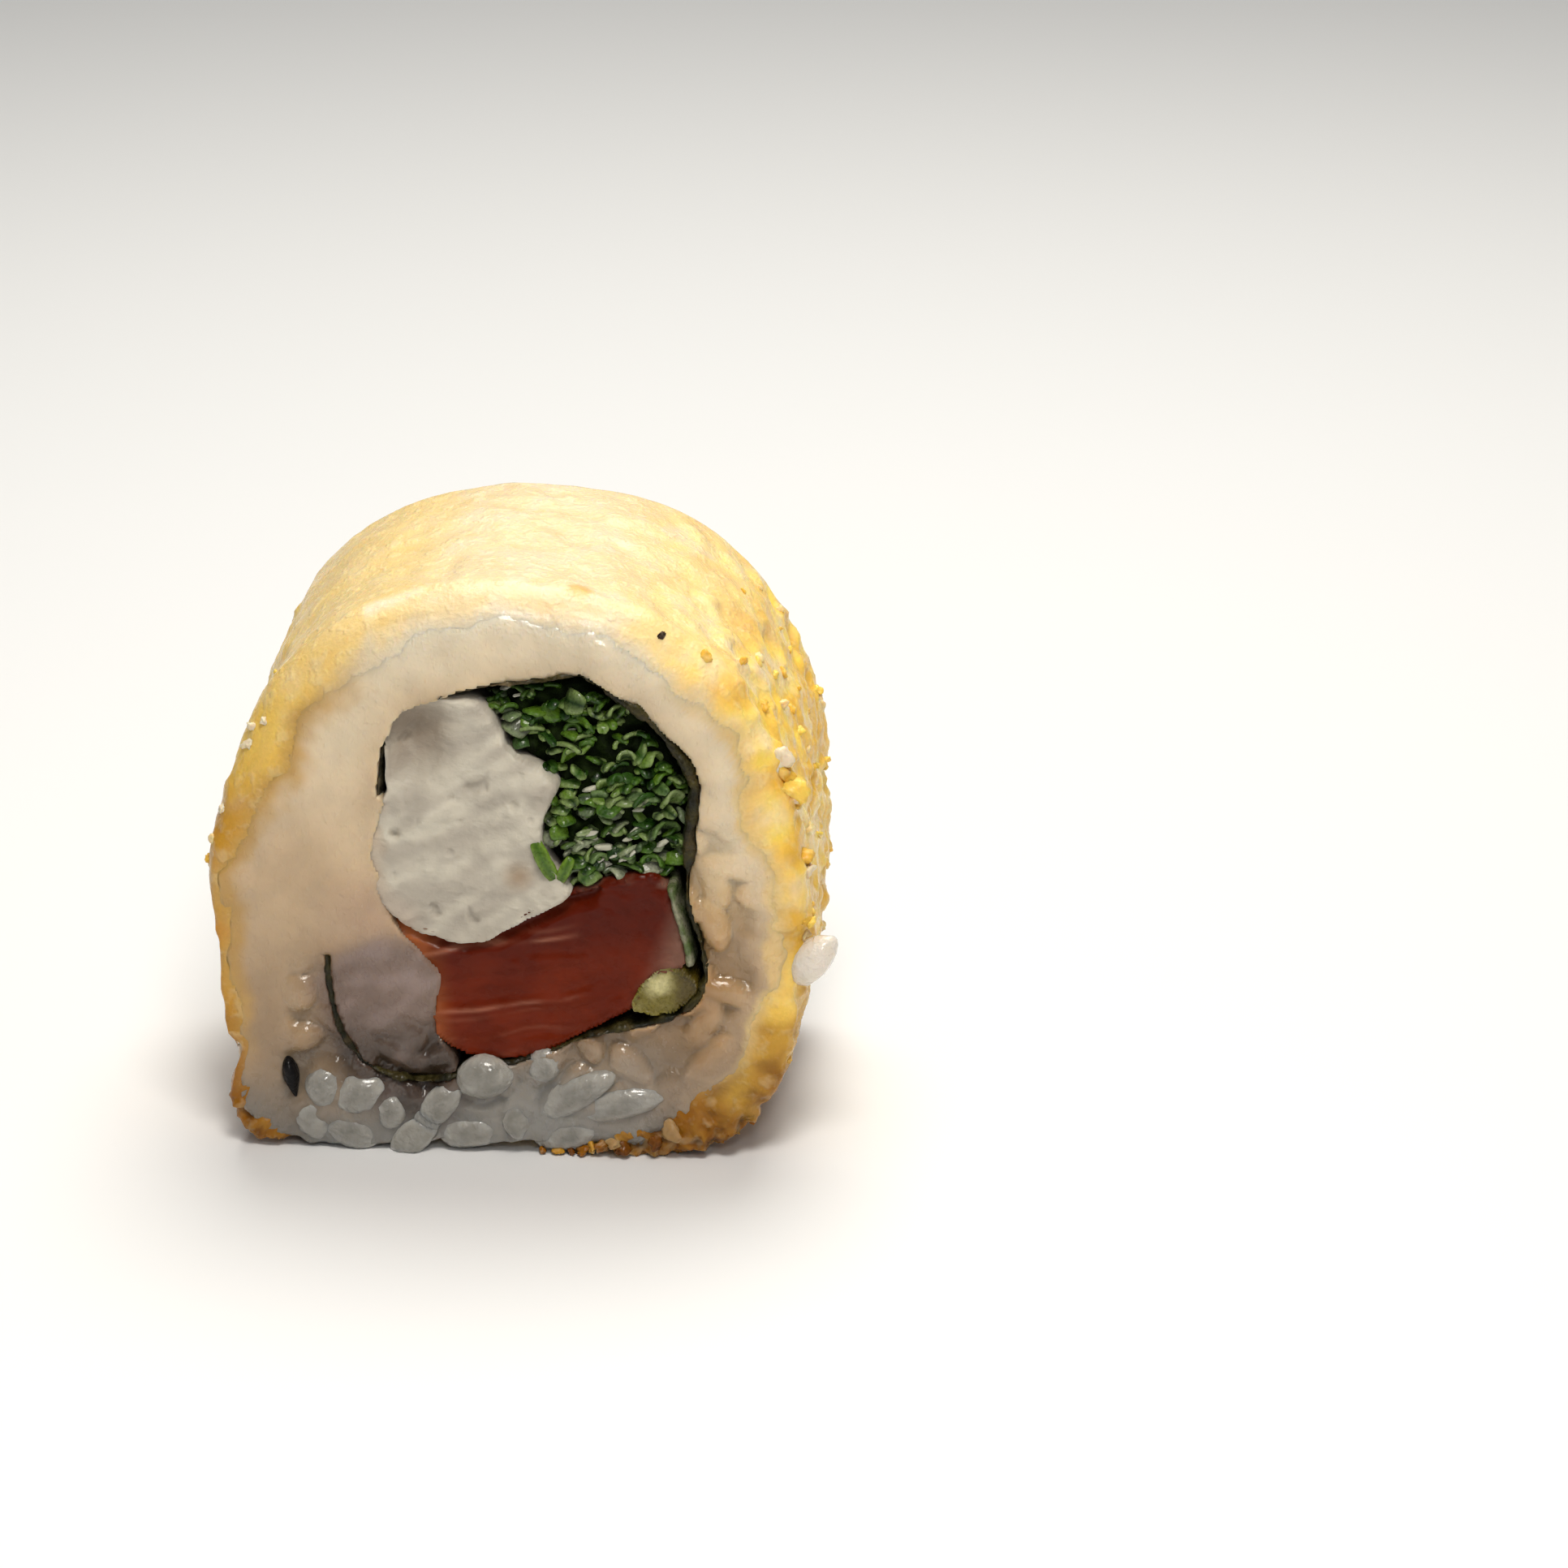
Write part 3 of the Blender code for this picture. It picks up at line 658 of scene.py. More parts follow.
# Loose grains
# Whole grains that stand free low on the cut faces, where the rice is clear and wet, those in front each
# on a low mound of starch. One more, opaque and white, has stuck to the batter at the right-hand edge.
def needle(tree, x, z, side):
    """Where a needle pushed in along the roll meets the surface first, as a depth, or None."""
    found = tree.ray_cast(Vector((x, side * 40.0 * MM, z)), Vector((0.0, -side, 0.0)))[0]
    return None if found is None else found.y * side


def master_shape(make, **detail):
    """The points and faces of one small round shape, to form the bits of a heap from."""
    shell = bmesh.new()
    make(shell, **detail)
    points = np.array([vert.co[:] for vert in shell.verts])
    faces = [[vert.index for vert in face.verts] for face in shell.faces]
    shell.free()
    return points, faces


def heap_mesh(name, faces, bits):
    """Joins bits with the same faces into one mesh. Each bit is its points and their colours."""
    count = len(bits[0][0])
    every = [[corner + number * count for corner in face] for number in range(len(bits)) for face in faces]
    mesh = bpy.data.meshes.new(name)
    mesh.from_pydata(np.concatenate([bit[0] for bit in bits]), [], every)
    set_tint(mesh, np.concatenate([np.broadcast_to(bit[1], bit[0].shape) for bit in bits]))
    return mesh


def turn_along(direction):
    """The turn that lays a shape's own long axis along the direction, as rows to multiply points by."""
    return np.array(Vector(direction).to_track_quat("Z", "Y").to_matrix()).T


ball, ball_faces = master_shape(bmesh.ops.create_uvsphere, u_segments=14, v_segments=11, radius=0.5)


def kernel(place, along, size, bend):
    """Points of one grain, a little bent and narrower at one end. Size is length, width, thickness."""
    share = ball[:, 2] * 2.0
    full = (1.0 + 0.16 * (1.0 - share * share)) * (1.0 - 0.1 * share)
    thick = ball[:, 0] * size[2] * full
    wide = ball[:, 1] * size[1] * full - bend * share ** 2
    return np.stack([thick, wide, ball[:, 2] * size[0]], 1) @ turn_along(along) + np.array(place)


def rimmed(along, bare_from, core, rim):
    """A grain's colours: darker in the clear middle of what shows, a painted rim light towards its outline.
    """
    facing = np.abs((ball * 2.0 @ turn_along(along))[:, 1])
    return mixed(core, rim, 1.0 - step(bare_from + 0.05, min(bare_from + 0.5, 1.0), facing))


loose_on_a_face = 20
# Grains are darker in the middle and lighter at the outline, a painted rim light.
clear_core = np.array((0.23, 0.22, 0.193))
rim_light_tone = np.array((0.385, 0.368, 0.33))
rice_tree = surface_of(rice_ring)
draw = random.Random(8)
bits = []
for x, z, angle, length, width, out, light in front_grains:
    lean = math.radians(angle)
    along = (math.cos(lean), draw.uniform(-0.1, 0.1), math.sin(lean))
    depth = needle(rice_tree, x * MM, z * MM, -1.0) + (out + 0.05) * MM - mound_height * 0.55
    size = (length * MM, width * 1.05 * MM, width * 0.78 * MM)
    shape = kernel((x * MM, -depth, z * MM), along, size, 0.2 * MM)
    bare_from = max(-out / (width * 0.36), 0.2)
    bits.append((shape, rimmed(along, bare_from, clear_core * light, rim_light_tone * light)))
for side in (-1.0, 1.0):
    laid = [(x * MM, z * MM) for x, z, *_ in front_grains] if side < 0 else []
    tries = 0
    while len(laid) < loose_on_a_face and tries < 4000:
        tries += 1
        x = draw.uniform(-12.0, 11.0) * MM
        z = draw.uniform(1.3, 4.2) * MM
        if any(math.hypot(x - other[0], z - other[1]) < 2.5 * MM for other in laid):
            continue
        angle = draw.uniform(-0.9, 0.9)
        length = grain_length * draw.uniform(0.85, 1.15)
        width = grain_width * draw.uniform(0.8, 1.05)
        along = Vector((math.cos(angle), draw.uniform(-0.1, 0.1), math.sin(angle)))
        across = Vector((-along.z, 0.0, along.x))
        reach = [along * length * 0.5 * share for share in (-1.0, -0.5, 0.0, 0.5, 1.0)]
        reach += [across * width * 0.6 * share for share in (-1.0, 1.0)]
        depths = [needle(rice_tree, x + spot.x, z + spot.z, side) for spot in reach]
        if None in depths or max(depths) - min(depths) > 0.45 * MM:
            continue
        laid.append((x, z))
        place = Vector((x, side * (max(depths) - draw.uniform(0.3, 0.55) * MM), z))
        light = draw.uniform(0.85, 1.1)
        shape = kernel(place, along, (length, width, width * 0.85), draw.uniform(0.0, 0.35) * MM)
        shades = rimmed(along, 0.5, clear_core * light, rim_light_tone * light)
        bits.append((shape, mixed(shades, (0.37, 0.31, 0.235), [draw.uniform(0.3, 0.7)])))
stray_place = Vector((22.9, -12.6, 15.9)) * MM
stray_white = np.array((0.82, 0.75, 0.66))
stray_size = (4.85 * MM, 2.5 * MM, 2.6 * MM)
bits.append((kernel(stray_place, (0.62, -0.1, 0.78), stray_size, 0.25 * MM), stray_white))
grains = heap_mesh("loose_grains", ball_faces, bits)
points = places(grains)
points[:, 2] = np.maximum(points[:, 2], 0.0)
points += normals(grains) * (lumps(points, 0.9, 1.0) * 0.14 * MM)[:, None]
points[:, 2] = np.maximum(points[:, 2], 0.0)
set_places(grains, points)
shades = np.concatenate([np.broadcast_to(bit[1], bit[0].shape) for bit in bits])
chalk = step(0.2, 0.7, lumps(points, 1.0, 85.0))
set_tint(grains, mixed(shades, (0.60, 0.575, 0.515), chalk * 0.35))

grain_paint, tint = tinted_paint(
    "wet_rice_grain", glow=(0.6, 1.2, (1.0, 0.85, 0.65)), film=(0.7, 0.06),
    Transmission_Weight=0.08, IOR=1.35,
)
cloud = spots(grain_paint, 1.0, 0.35, 0.7)
tint = blended(grain_paint, tint, (0.84, 0.81, 0.73), between(grain_paint, cloud, 0.0, 0.12))
finish(
    grain_paint, tint, between(grain_paint, cloud, 0.08, 0.22), (spots(grain_paint, 0.4, 0.3, 0.7), 0.06),
)
add_piece("loose_rice_grains", grains, "sushi_rice", grain_paint)


# Sesame seed
# One black sesame seed stuck on the rice at the lower left: a flat drop, round above and pointed below,
# with a dry, finely wrinkled skin that has a dull shine.
seed_length, seed_width, seed_thickness = 3.3 * MM, 1.9 * MM, 1.3 * MM
drop, drop_faces = master_shape(bmesh.ops.create_uvsphere, u_segments=40, v_segments=32, radius=0.5)
share = drop[:, 2] * 2.0
narrow = 1.0 - 0.5 * step(-0.3, 1.0, share)
shaped = drop * (seed_width, seed_thickness, seed_length) * np.stack([narrow, narrow, np.ones(len(share))], 1)
seed_x, seed_z = -15.75 * MM, 5.75 * MM
seed_depth = needle(rice_tree, seed_x, seed_z, -1.0) + 0.4 * MM
shaped = shaped @ turn_along((0.18, 0.0, -1.0)) + np.array((seed_x, -seed_depth, seed_z))
seed = heap_mesh("sesame_seed", drop_faces, [(shaped, (0.0, 0.0, 0.0))])
points = places(seed)
wrinkles = np.abs(lumps(points * (1.0, 1.0, 0.35), 0.35, 2.0)) * 0.06 * MM
set_places(seed, points - normals(seed) * wrinkles[:, None])
dust = step(0.1, 0.5, lumps(points, 0.6, 6.0))
set_tint(seed, mixed((0.005, 0.0045, 0.005), (0.016, 0.014, 0.014), dust))
seed_paint = mottled_paint(
    "black_seed", (0.2, 0.3, 3.0), 0.4, (0.3, 0.5), 0.03, film=(0.12, 0.12), Specular_IOR_Level=0.1,
)
add_piece("black_sesame_seed", seed, "sushi_rice", seed_paint)


# Seaweed
# One sheet of roasted seaweed, rolled into a C round the fillings. It is thin and brittle, softened by
# the wet rice, so its cut edge is ragged, thicker in places, and smeared with starch at the upper left.
def shape_faces(mesh, level, relief, wider):
    """Presses a filling wider near its cut faces, brings them to a level in mm and adds the relief."""
    level = level * MM
    points = places(mesh)
    facing = normals(mesh)
    by_face = ramp(10.5, 12.5, np.abs(points[:, 1]))
    points = points + facing * (1.0, 0.0, 1.0) * (wider(points) * by_face * MM)[:, None]
    for side in (-1.0, 1.0):
        lying = step(0.12, 0.4, facing[:, 1] * side)
        lying = lying * step(level - 2.0 * MM, level - 1.2 * MM, points[:, 1] * side)
        chosen = lying > 0.0
        spot = points[chosen].copy()
        spot[:, 1] = side * level
        target = side * (level + relief(spot))
        points[chosen, 1] += (target - points[chosen, 1]) * lying[chosen]
    set_places(mesh, points)


nori = dense_copy("nori_sheet", 0.14, 0.16, 0.06)
points = places(nori)
facing = normals(nori)
x, y, z = points.T
by_face = ramp(11.0, 13.4, np.abs(y))
flat = points * (1.0, 0.3, 1.0)
hook = fall(-10.0, -7.0, x) * fall(14.5, 16.5, z)
corner = near(points, 14.6, 13.6, 3.0) + near(points, 9.6, 35.0, 2.2) * 1.6
at_right = ramp(12.0, 13.5, x) * ramp(23.0, 25.0, z) * fall(31.0, 33.0, z)
bulge = lumps(flat, 1.5, 3.0) * 0.3 + lumps(flat, 0.5, 4.0) * 0.14 - 0.02 + 0.06 * hook
bulge = bulge + 0.2 * corner + 0.25 * at_right
points = points + facing * (1.0, 0.0, 1.0) * (bulge * by_face * MM)[:, None]
upper_left = fall(-3.0, 4.0, x) * ramp(24.0, 30.0, z)
ragged = lumps(flat, 0.9, 9.0) * 0.22 + lumps(flat, 3.0, 12.0) * 0.18
buried = near(points, -7.2, 33.8, 3.6) * fall(-6.0, -3.5, x)
points[:, 1] += np.sign(y) * by_face * (ragged - 0.25 * upper_left - 1.2 * buried) * MM
set_places(nori, points)
nori_dark = (0.014, 0.014, 0.005)
nori_olive = (0.075, 0.06, 0.013)
nori_brown = (0.11, 0.07, 0.022)
patches = lumps(points, 1.8, 6.0)
colour = mixed(nori_dark, nori_olive, step(-0.3, 0.5, patches) * 0.8)
edge = ramp(13.3, 13.9, np.abs(points[:, 1]))
colour = layered(
    colour,
    (nori_brown, edge * step(0.0, 0.6, lumps(points, 1.1, 15.0)) * 0.55),
    ((0.34, 0.24, 0.13), edge * upper_left * step(-0.4, 0.2, patches) * 0.75),
)
set_tint(nori, colour)
nori_paint = mottled_paint(
    "roasted_seaweed", (0.35, 0.35, 4.0), 0.5, (0.3, 0.6), 0.05, film=(0.1, 0.2), Specular_IOR_Level=0.2,
)
add_piece("seaweed_sheet", nori, "seaweed", nori_paint, "nori_sheet")


# Cream cheese
# A thick strip of soft cream cheese through the roll. The knife dragged it into slanting streaks, tore
# small pits in it and pulled it back into a hollow at the top left. At the left it thins into the rice.
def thin_left(points):
    """1 at the left edge of the cheese, where it thins out and smears into the rice."""
    x = points[:, 0] + lumps(points * (1.0, 0.0, 1.0), 1.3, 91.0) * 0.8 * MM
    high = ramp(15.0, 18.0, points[:, 2]) * fall(27.0, 29.5, points[:, 2])
    return fall(-10.2, -7.8, x) * high


def cheese_relief(points):
    wander = points + (lumps(points, 2.5, 8.0) * 0.8 * MM)[:, None]
    streaks = lumps(slanted(wander, 40.0, 1.7, 1.0), 1.7, 2.0) * 0.2 + lumps(wander, 1.7, 3.0) * 0.16
    fine = lumps(slanted(wander, 36.0, 1.4, 0.9), 0.8, 5.0) * 0.11 + lumps(points, 0.5, 6.0) * 0.05
    swell = lumps(points, 3.6, 4.0) * 0.4 + 0.45 * near(points, 3.2, 29.2, 2.4)
    swell = swell + 0.4 * near(points, -0.6, 34.4, 1.8) + 0.3 * near(points, -7.0, 21.5, 3.0)
    torn = step(0.45, 0.7, lumps(points, 1.1, 17.0)) * -0.3
    hollow = near(points, -6.3, 32.6, 4.6) * -1.9
    pit = near(points, -7.7, 25.2, 0.7) * -0.7
    crease = near(points, 1.4, 22.2, 1.3) * -0.5
    return (streaks + fine + swell + torn + hollow + pit + crease + 0.1 - 0.45 * thin_left(points)) * MM


def cheese_spread(points):
    """How far the cheese is pressed out near the cut faces, in mm, more under the onion's top left end."""
    uneven = lumps(points * (1.0, 0.0, 1.0), 1.4, 61.0) * 0.12
    bulges = 0.7 * near(points, -0.8, 35.6, 2.6) - 0.8 * near(points, -9.8, 24.2, 2.8)
    return smear_over(points) + uneven + bulges


cheese = dense_copy("cream_cheese", 0.17, 0.2, 0.3)
shape_faces(cheese, 13.75, cheese_relief, cheese_spread)
points = places(cheese)
cream_white = (0.65, 0.60, 0.495)
cream_grey = (0.49, 0.44, 0.365)
brown_crease_shade = (0.40, 0.27, 0.16)
streaks = lumps(slanted(points, 30.0, 4.0, 1.2), 1.0, 11.0)
# Painted shade: dark brown along the crease and in the hollow at the top left.
colour = layered(
    mixed(cream_grey, cream_white, step(-0.4, 0.4, streaks + 0.25 * lumps(points, 4.0, 13.0))),
    (brown_crease_shade, near(points, 1.4, 22.2, 1.6) * 0.7),
    ((0.30, 0.24, 0.18), near(points, -6.4, 33.0, 5.4) * 0.85),
    ((0.52, 0.36, 0.27), near(points, -8.5, 18.5, 3.4) * 0.7),
    (cream_grey, step(0.1, 0.5, lumps(points, 1.7, 71.0)) * 0.5),
    ((0.60, 0.455, 0.33), thin_left(points) * 0.8),
)
set_tint(cheese, colour)
cheese_paint, tint = tinted_paint(
    "soft_cheese", glow=(0.5, 0.9, (1.0, 0.9, 0.75)), Specular_IOR_Level=0.3,
)
curd = spots(cheese_paint, 0.5, 0.3, 0.7, detail=4.0)
drag = spots(cheese_paint, 0.9, 0.3, 0.7, detail=3.0, stretch=(0.6, 0.6, 1.2), turn=(0.0, 0.55, 0.0))
tint = darker(cheese_paint, tint, drag, 0.08)
finish(cheese_paint, tint, between(cheese_paint, curd, 0.42, 0.62), (drag, 0.06), (curd, 0.03))
add_piece("cream_cheese_filling", cheese, "cream_cheese", cheese_paint, "cream_cheese")


# Salmon
# A strip of raw salmon, wet and a little see-through, its flesh in nested bands with thin pale lines of
# fat between them that fade out towards the right. Its thin left end is a brighter orange.
def band_distance(points):
    """How far each point lies from the middle of the nested bands, in the cross-section."""
    start = np.array((-9.0, 12.9)) * MM
    end = np.array((6.0, 15.2)) * MM
    spot = points[:, (0, 2)]
    share = np.clip((spot - start) @ (end - start) / ((end - start) @ (end - start)), 0.0, 1.0)
    nearest = start + share[:, None] * (end - start)
    warp = lumps(points * (1.0, 0.25, 1.0), 3.0, 14.0) * 0.45 * MM
    return np.hypot(*(spot - nearest).T) + warp


# Each pair: how far from the bands' middle in mm, and how strong.
fat_lines = ((2.3, 1.0), (3.0, 0.3), (4.7, 0.35), (6.3, 0.3))


def fat_share(points):
    """1 on a line of fat and 0 in the flesh, fainter where the line fades out."""
    away_from = band_distance(points)
    fade = step(-0.45, 0.35, lumps(points * (1.0, 0.25, 1.0), 2.6, 19.0))
    share = np.zeros(len(points))
    for distance, strength in fat_lines:
        line = np.exp(-(((away_from - distance * MM) / (0.17 * MM)) ** 2))
        share = np.maximum(share, line * strength)
    before_bend = fall(3.5, 6.5, points[:, 0])
    return share * (0.15 + 0.85 * fade) * before_bend


def salmon_relief(points):
    wet = lumps(points, 2.8, 1.0) * 0.22 + lumps(points, 0.9, 2.0) * 0.05
    steps = np.sin(band_distance(points) / MM * 3.4) * 0.05
    border = np.interp(points[:, 0] / MM, (-9.0, -4.5, -2.7, 0.0, 2.5, 5.4, 7.0, 9.0),
                       (19.0, 17.2, 16.9, 17.3, 18.8, 20.4, 21.0, 25.0))
    tucked = step(-1.2, -0.2, points[:, 2] / MM - border)
    return (wet + steps + fat_share(points) * 0.06 - tucked * 0.75) * MM


salmon = dense_copy("salmon_strip", 0.17, 0.2, 0.3)
shape_faces(salmon, 13.5, salmon_relief, lambda points: 0.25 + 0.2 * lumps(points, 1.5, 63.0))
points = places(salmon)
flesh_red = (0.165, 0.016, 0.0015)
flesh_dark = (0.12, 0.010, 0.001)
fat_pink = (0.62, 0.27, 0.17)
orange_tip = (0.42, 0.12, 0.035)
mauve_end = (0.30, 0.17, 0.12)
x, y, z = points.T
patches = lumps(points, 3.5, 23.0)
colour = layered(
    mixed(flesh_red, flesh_dark, step(-0.2, 0.5, patches) * 0.6),
    # Painted shade: the top of the salmon, under the onion, is darker.
    ((0.09, 0.007, 0.001), ramp(13.0, 17.5, z - x * 0.15) * 0.85),
    (fat_pink, fat_share(points) * 0.38),
    (orange_tip, fall(-7.0, -3.2, x + patches * MM)),
    (mauve_end, ramp(9.8, 12.4, x - (z - 14.0 * MM) * 0.35) * 0.6),
)
film_line = np.abs(z - 21.5 * MM - (x - 8.0 * MM) * 0.1 + lumps(points, 1.6, 87.0) * 0.9 * MM)
film = ramp(0.7, 0.1, film_line) * ramp(3.0, 5.0, x) * step(-0.3, 0.4, lumps(points, 2.0, 88.0))
colour = mixed(colour, (0.40, 0.24, 0.17), film * 0.6)
set_tint(salmon, colour)
salmon_paint, tint = tinted_paint(
    "raw_salmon", glow=(0.3, 0.9, (1.0, 0.3, 0.15)), film=(0.12, 0.1), Specular_IOR_Level=0.08,
)
band = spots(salmon_paint, 1.4, 0.3, 0.7, stretch=(0.8, 0.5, 1.2), turn=(0.0, -0.15, 0.0))
fine = spots(salmon_paint, 0.4, 0.3, 0.7)
tint = darker(salmon_paint, tint, band, 0.16)
finish(salmon_paint, tint, between(salmon_paint, band, 0.24, 0.4), (band, 0.05), (fine, 0.015))
add_piece("salmon_filling", salmon, "salmon", salmon_paint, "salmon_strip")


# Chopped green onion
# A heap of chopped green onion round a dark core: slices and slivers of its hollow leaves, one or two
# millimetres across, curled, shiny, and lower down smeared with cream cheese.
onion_core = dense_copy("green_onion", 0.2, 0.25, -0.25)
points = places(onion_core)
lit = step(-0.3, 0.5, lumps(points, 0.8))
# Painted shade: the core is near black, standing for the shade in the gaps between the flakes; its lighter
# patches fall at random.
set_tint(onion_core, mixed((0.003, 0.006, 0.001), (0.012, 0.022, 0.004), lit))
core_paint = mottled_paint(
    "onion_shade", (0.4, 0.3, 3.0), 0.5, (0.5, 0.8), 0.06, Specular_IOR_Level=0.05,
)
onion_heart = add_piece("onion_core", onion_core, "green_onion", core_paint, "green_onion")
onion_paint = mottled_paint(
    "cut_onion", (0.28, 0.3, 3.0), 0.35, (0.24, 0.45), 0.04,
    glow=(0.15, 0.5, (0.7, 1.0, 0.3)), film=(0.35, 0.07), Specular_IOR_Level=0.2,
)
grid, grid_faces = master_shape(bmesh.ops.create_grid, x_segments=7, y_segments=2, size=0.5)


def random_turn(draw):
    """A turn to any side, as rows to multiply points by."""
    return turn_along([draw.uniform(-1.0, 1.0) for axis in range(3)])


def flake(place, turn, radius, arc, width, body, rim):
    """A curled sliver of onion leaf: part of a tube wall, paler along its cut edges."""
    angle = grid[:, 0] * arc
    taper = 1.0 - 0.45 * np.abs(grid[:, 0] * 2.0) ** 3
    bent = np.stack([radius * np.sin(angle), radius * (np.cos(angle) - 1.0), grid[:, 1] * width * taper], 1)
    edge = (np.abs(grid[:, 1]) * 2.0) ** 2
    return bent @ turn + np.array(place), mixed(body, rim, edge * 0.8)


leaf_greens = ((0.003, 0.013, 0.001), (0.006, 0.028, 0.002), (0.026, 0.085, 0.005), (0.11, 0.21, 0.014))
cut_greens = ((0.03, 0.09, 0.008), (0.09, 0.19, 0.020), (0.27, 0.37, 0.12))
creamed = (0.50, 0.50, 0.38)
flakes_on_a_face = 220
onion_tree = surface_of(onion_heart)
draw = random.Random(12)
bits = []
for side in (-1.0, 1.0):
    laid = 0
    while laid < flakes_on_a_face:
        x = draw.uniform(-4.0, 15.0) * MM
        z = draw.uniform(20.5, 38.5) * MM
        depth = needle(onion_tree, x, z, side)
        if depth is None or depth < 11.0 * MM:
            continue
        laid += 1
        kind = draw.choice(("ring", "curl", "curl", "chip", "chip", "sliver"))
        radius, arc, width = {
            "ring": (draw.uniform(0.5, 0.8), draw.uniform(2.6, 4.0), draw.uniform(0.9, 1.5)),
            "curl": (draw.uniform(0.7, 1.1), draw.uniform(1.5, 2.4), draw.uniform(0.8, 1.5)),
            "chip": (draw.uniform(1.6, 2.6), draw.uniform(0.6, 0.9), draw.uniform(0.9, 1.6)),
            "sliver": (draw.uniform(1.6, 2.6), draw.uniform(0.8, 1.2), draw.uniform(0.5, 0.9)),
        }[kind]
        turn = random_turn(draw)
        wet_low = min(max(1.0 - (z / MM - 22.0) / 8.0, 0.0), 1.0)
        wet_left = min(max(1.0 - (x / MM + 2.0) / 5.0, 0.0), 1.0)
        film = max(wet_low, wet_left) * draw.choice((0.0, 0.0, 0.12, 0.5))
        body = mixed(draw.choice(leaf_greens), creamed, [film])[0]
        rim = mixed(draw.choice(cut_greens), creamed, [min(film * 1.6, 1.0)])[0]
        place = Vector((x, side * (depth + draw.uniform(-0.4, 0.7) * MM), z))
        scale = draw.choice((0.75, 0.9, 1.1, 1.35)) * MM
        bits.append(flake(place, turn, radius * scale, arc, width * scale, body, rim))
    for x, z in ((4.0, 28.2), (4.4, 27.3), (3.9, 26.5), (4.5, 25.6), (5.1, 28.0), (5.0, 26.6), (4.2, 24.9)):
        turn = random_turn(draw)
        place = Vector((x * MM, side * draw.uniform(12.6, 13.3) * MM, z * MM))
        body, rim = draw.choice(leaf_greens), draw.choice(cut_greens)
        bits.append(flake(place, turn, 1.0 * MM, 1.7, 1.3 * MM, body, rim))
leaf_edge = (0.20, 0.33, 0.03)
for x, z, angle, length, width in ((3.4, 23.5, 116.0, 4.0, 1.25), (4.9, 22.9, 66.0, 2.2, 1.0)):
    lean = math.radians(angle)
    along = Vector((math.cos(lean), 0.0, math.sin(lean)))
    turn = np.array((along, Vector((0.0, -1.0, 0.0)), along.cross(Vector((0.0, -1.0, 0.0)))))
    place = Vector((x, -14.1, z)) * MM
    bits.append(flake(place, turn, length * MM, 1.0, width * MM, (0.055, 0.13, 0.006), leaf_edge))
holder = placed("onion_flakes", heap_mesh("onion_flakes", grid_faces, bits))
wall = holder.modifiers.new("wall", "SOLIDIFY")
wall.thickness = 0.38 * MM
wall.offset = 0.0
soften = holder.modifiers.new("soften", "SUBSURF")
soften.levels = 1
soften.render_levels = 1
flakes = baked(holder)
points = places(flakes)
points += normals(flakes) * (lumps(points, 0.5, 4.0) * 0.05 * MM)[:, None]
set_places(flakes, points)
add_piece("chopped_onion", flakes, "green_onion", onion_paint)


# Cheese smears
# Thin dabs of cream cheese that the knife left on the onion, most at its lower edge and its left end.
pebble, pebble_faces = master_shape(bmesh.ops.create_icosphere, subdivisions=3, radius=1.0)
smears_on_a_face = 24
draw = random.Random(19)
bits = []
for side in (-1.0, 1.0):
    laid = 0
    while laid < smears_on_a_face:
        x, z = draw.choice(((8.0, 22.8), (10.0, 24.5), (7.5, 25.5), (0.2, 34.6), (4.5, 22.0)))
        x, z = (x + draw.gauss(0.0, 1.9)) * MM, (z + draw.gauss(0.0, 1.2)) * MM
        depth = needle(onion_tree, x, z, side)
        if depth is None or depth < 11.5 * MM:
            continue
        laid += 1
        lean = draw.uniform(0.0, 0.8)
        along = np.array((math.cos(lean), 0.0, math.sin(lean)))
        start = np.array([draw.uniform(0.0, 9.0) for axis in range(3)])
        rough = pebble * (1.0 + 0.5 * soft_noise((pebble + start) / 1.1))[:, None]
        dab = rough * (0.5, 0.34, 1.0) * draw.uniform(0.3, 0.8) * MM
        place = np.array((x, side * (depth + draw.uniform(-0.2, 0.45) * MM), z))
        bits.append((dab @ turn_along(along) + place, mixed(creamed, cream_white, [draw.random()])[0]))
add_piece("cheese_smears", heap_mesh("cheese_smears", pebble_faces, bits), "cream_cheese", cheese_paint)


# Onion stalk
# A thick pale piece of the onion's white end, wedged into the lower right corner, yellow-green, ribbed
# along its length and wet.
def stalk_relief(points):
    return (lumps(points, 0.9, 3.0) * 0.12 + 0.2 * near(points, 11.6, 13.6, 1.6)) * MM


stalk = dense_copy("onion_stalk", 0.13, 0.2, 0.3)
shape_faces(stalk, 13.6, stalk_relief, lambda points: 0.3 * lumps(points, 1.0, 65.0))
points = places(stalk)
stalk_highlight = (0.66, 0.60, 0.29)
stalk_green = (0.20, 0.16, 0.018)
stalk_olive = (0.10, 0.07, 0.008)
# Painted highlight: a pale patch near the top of the stalk, with paler flecks at random.
lit = near(points, 11.6, 14.0, 1.6) * 1.2 + lumps(points, 0.7, 2.0) * 0.3
colour = mixed(stalk_green, stalk_highlight, lit)
colour = mixed(colour, stalk_olive, ramp(12.2, 13.6, points[:, 0]))
set_tint(stalk, colour)
stalk_paint = mottled_paint(
    "pale_onion", (0.3, 0.3, 2.0), 0.2, (0.22, 0.4), 0.05, stretch=(1.0, 0.2, 1.0),
    glow=(0.4, 0.8, (0.9, 1.0, 0.4)), film=(0.25, 0.1), Specular_IOR_Level=0.3,
)
add_piece("onion_white_end", stalk, "onion_stalk", stalk_paint, "onion_stalk")


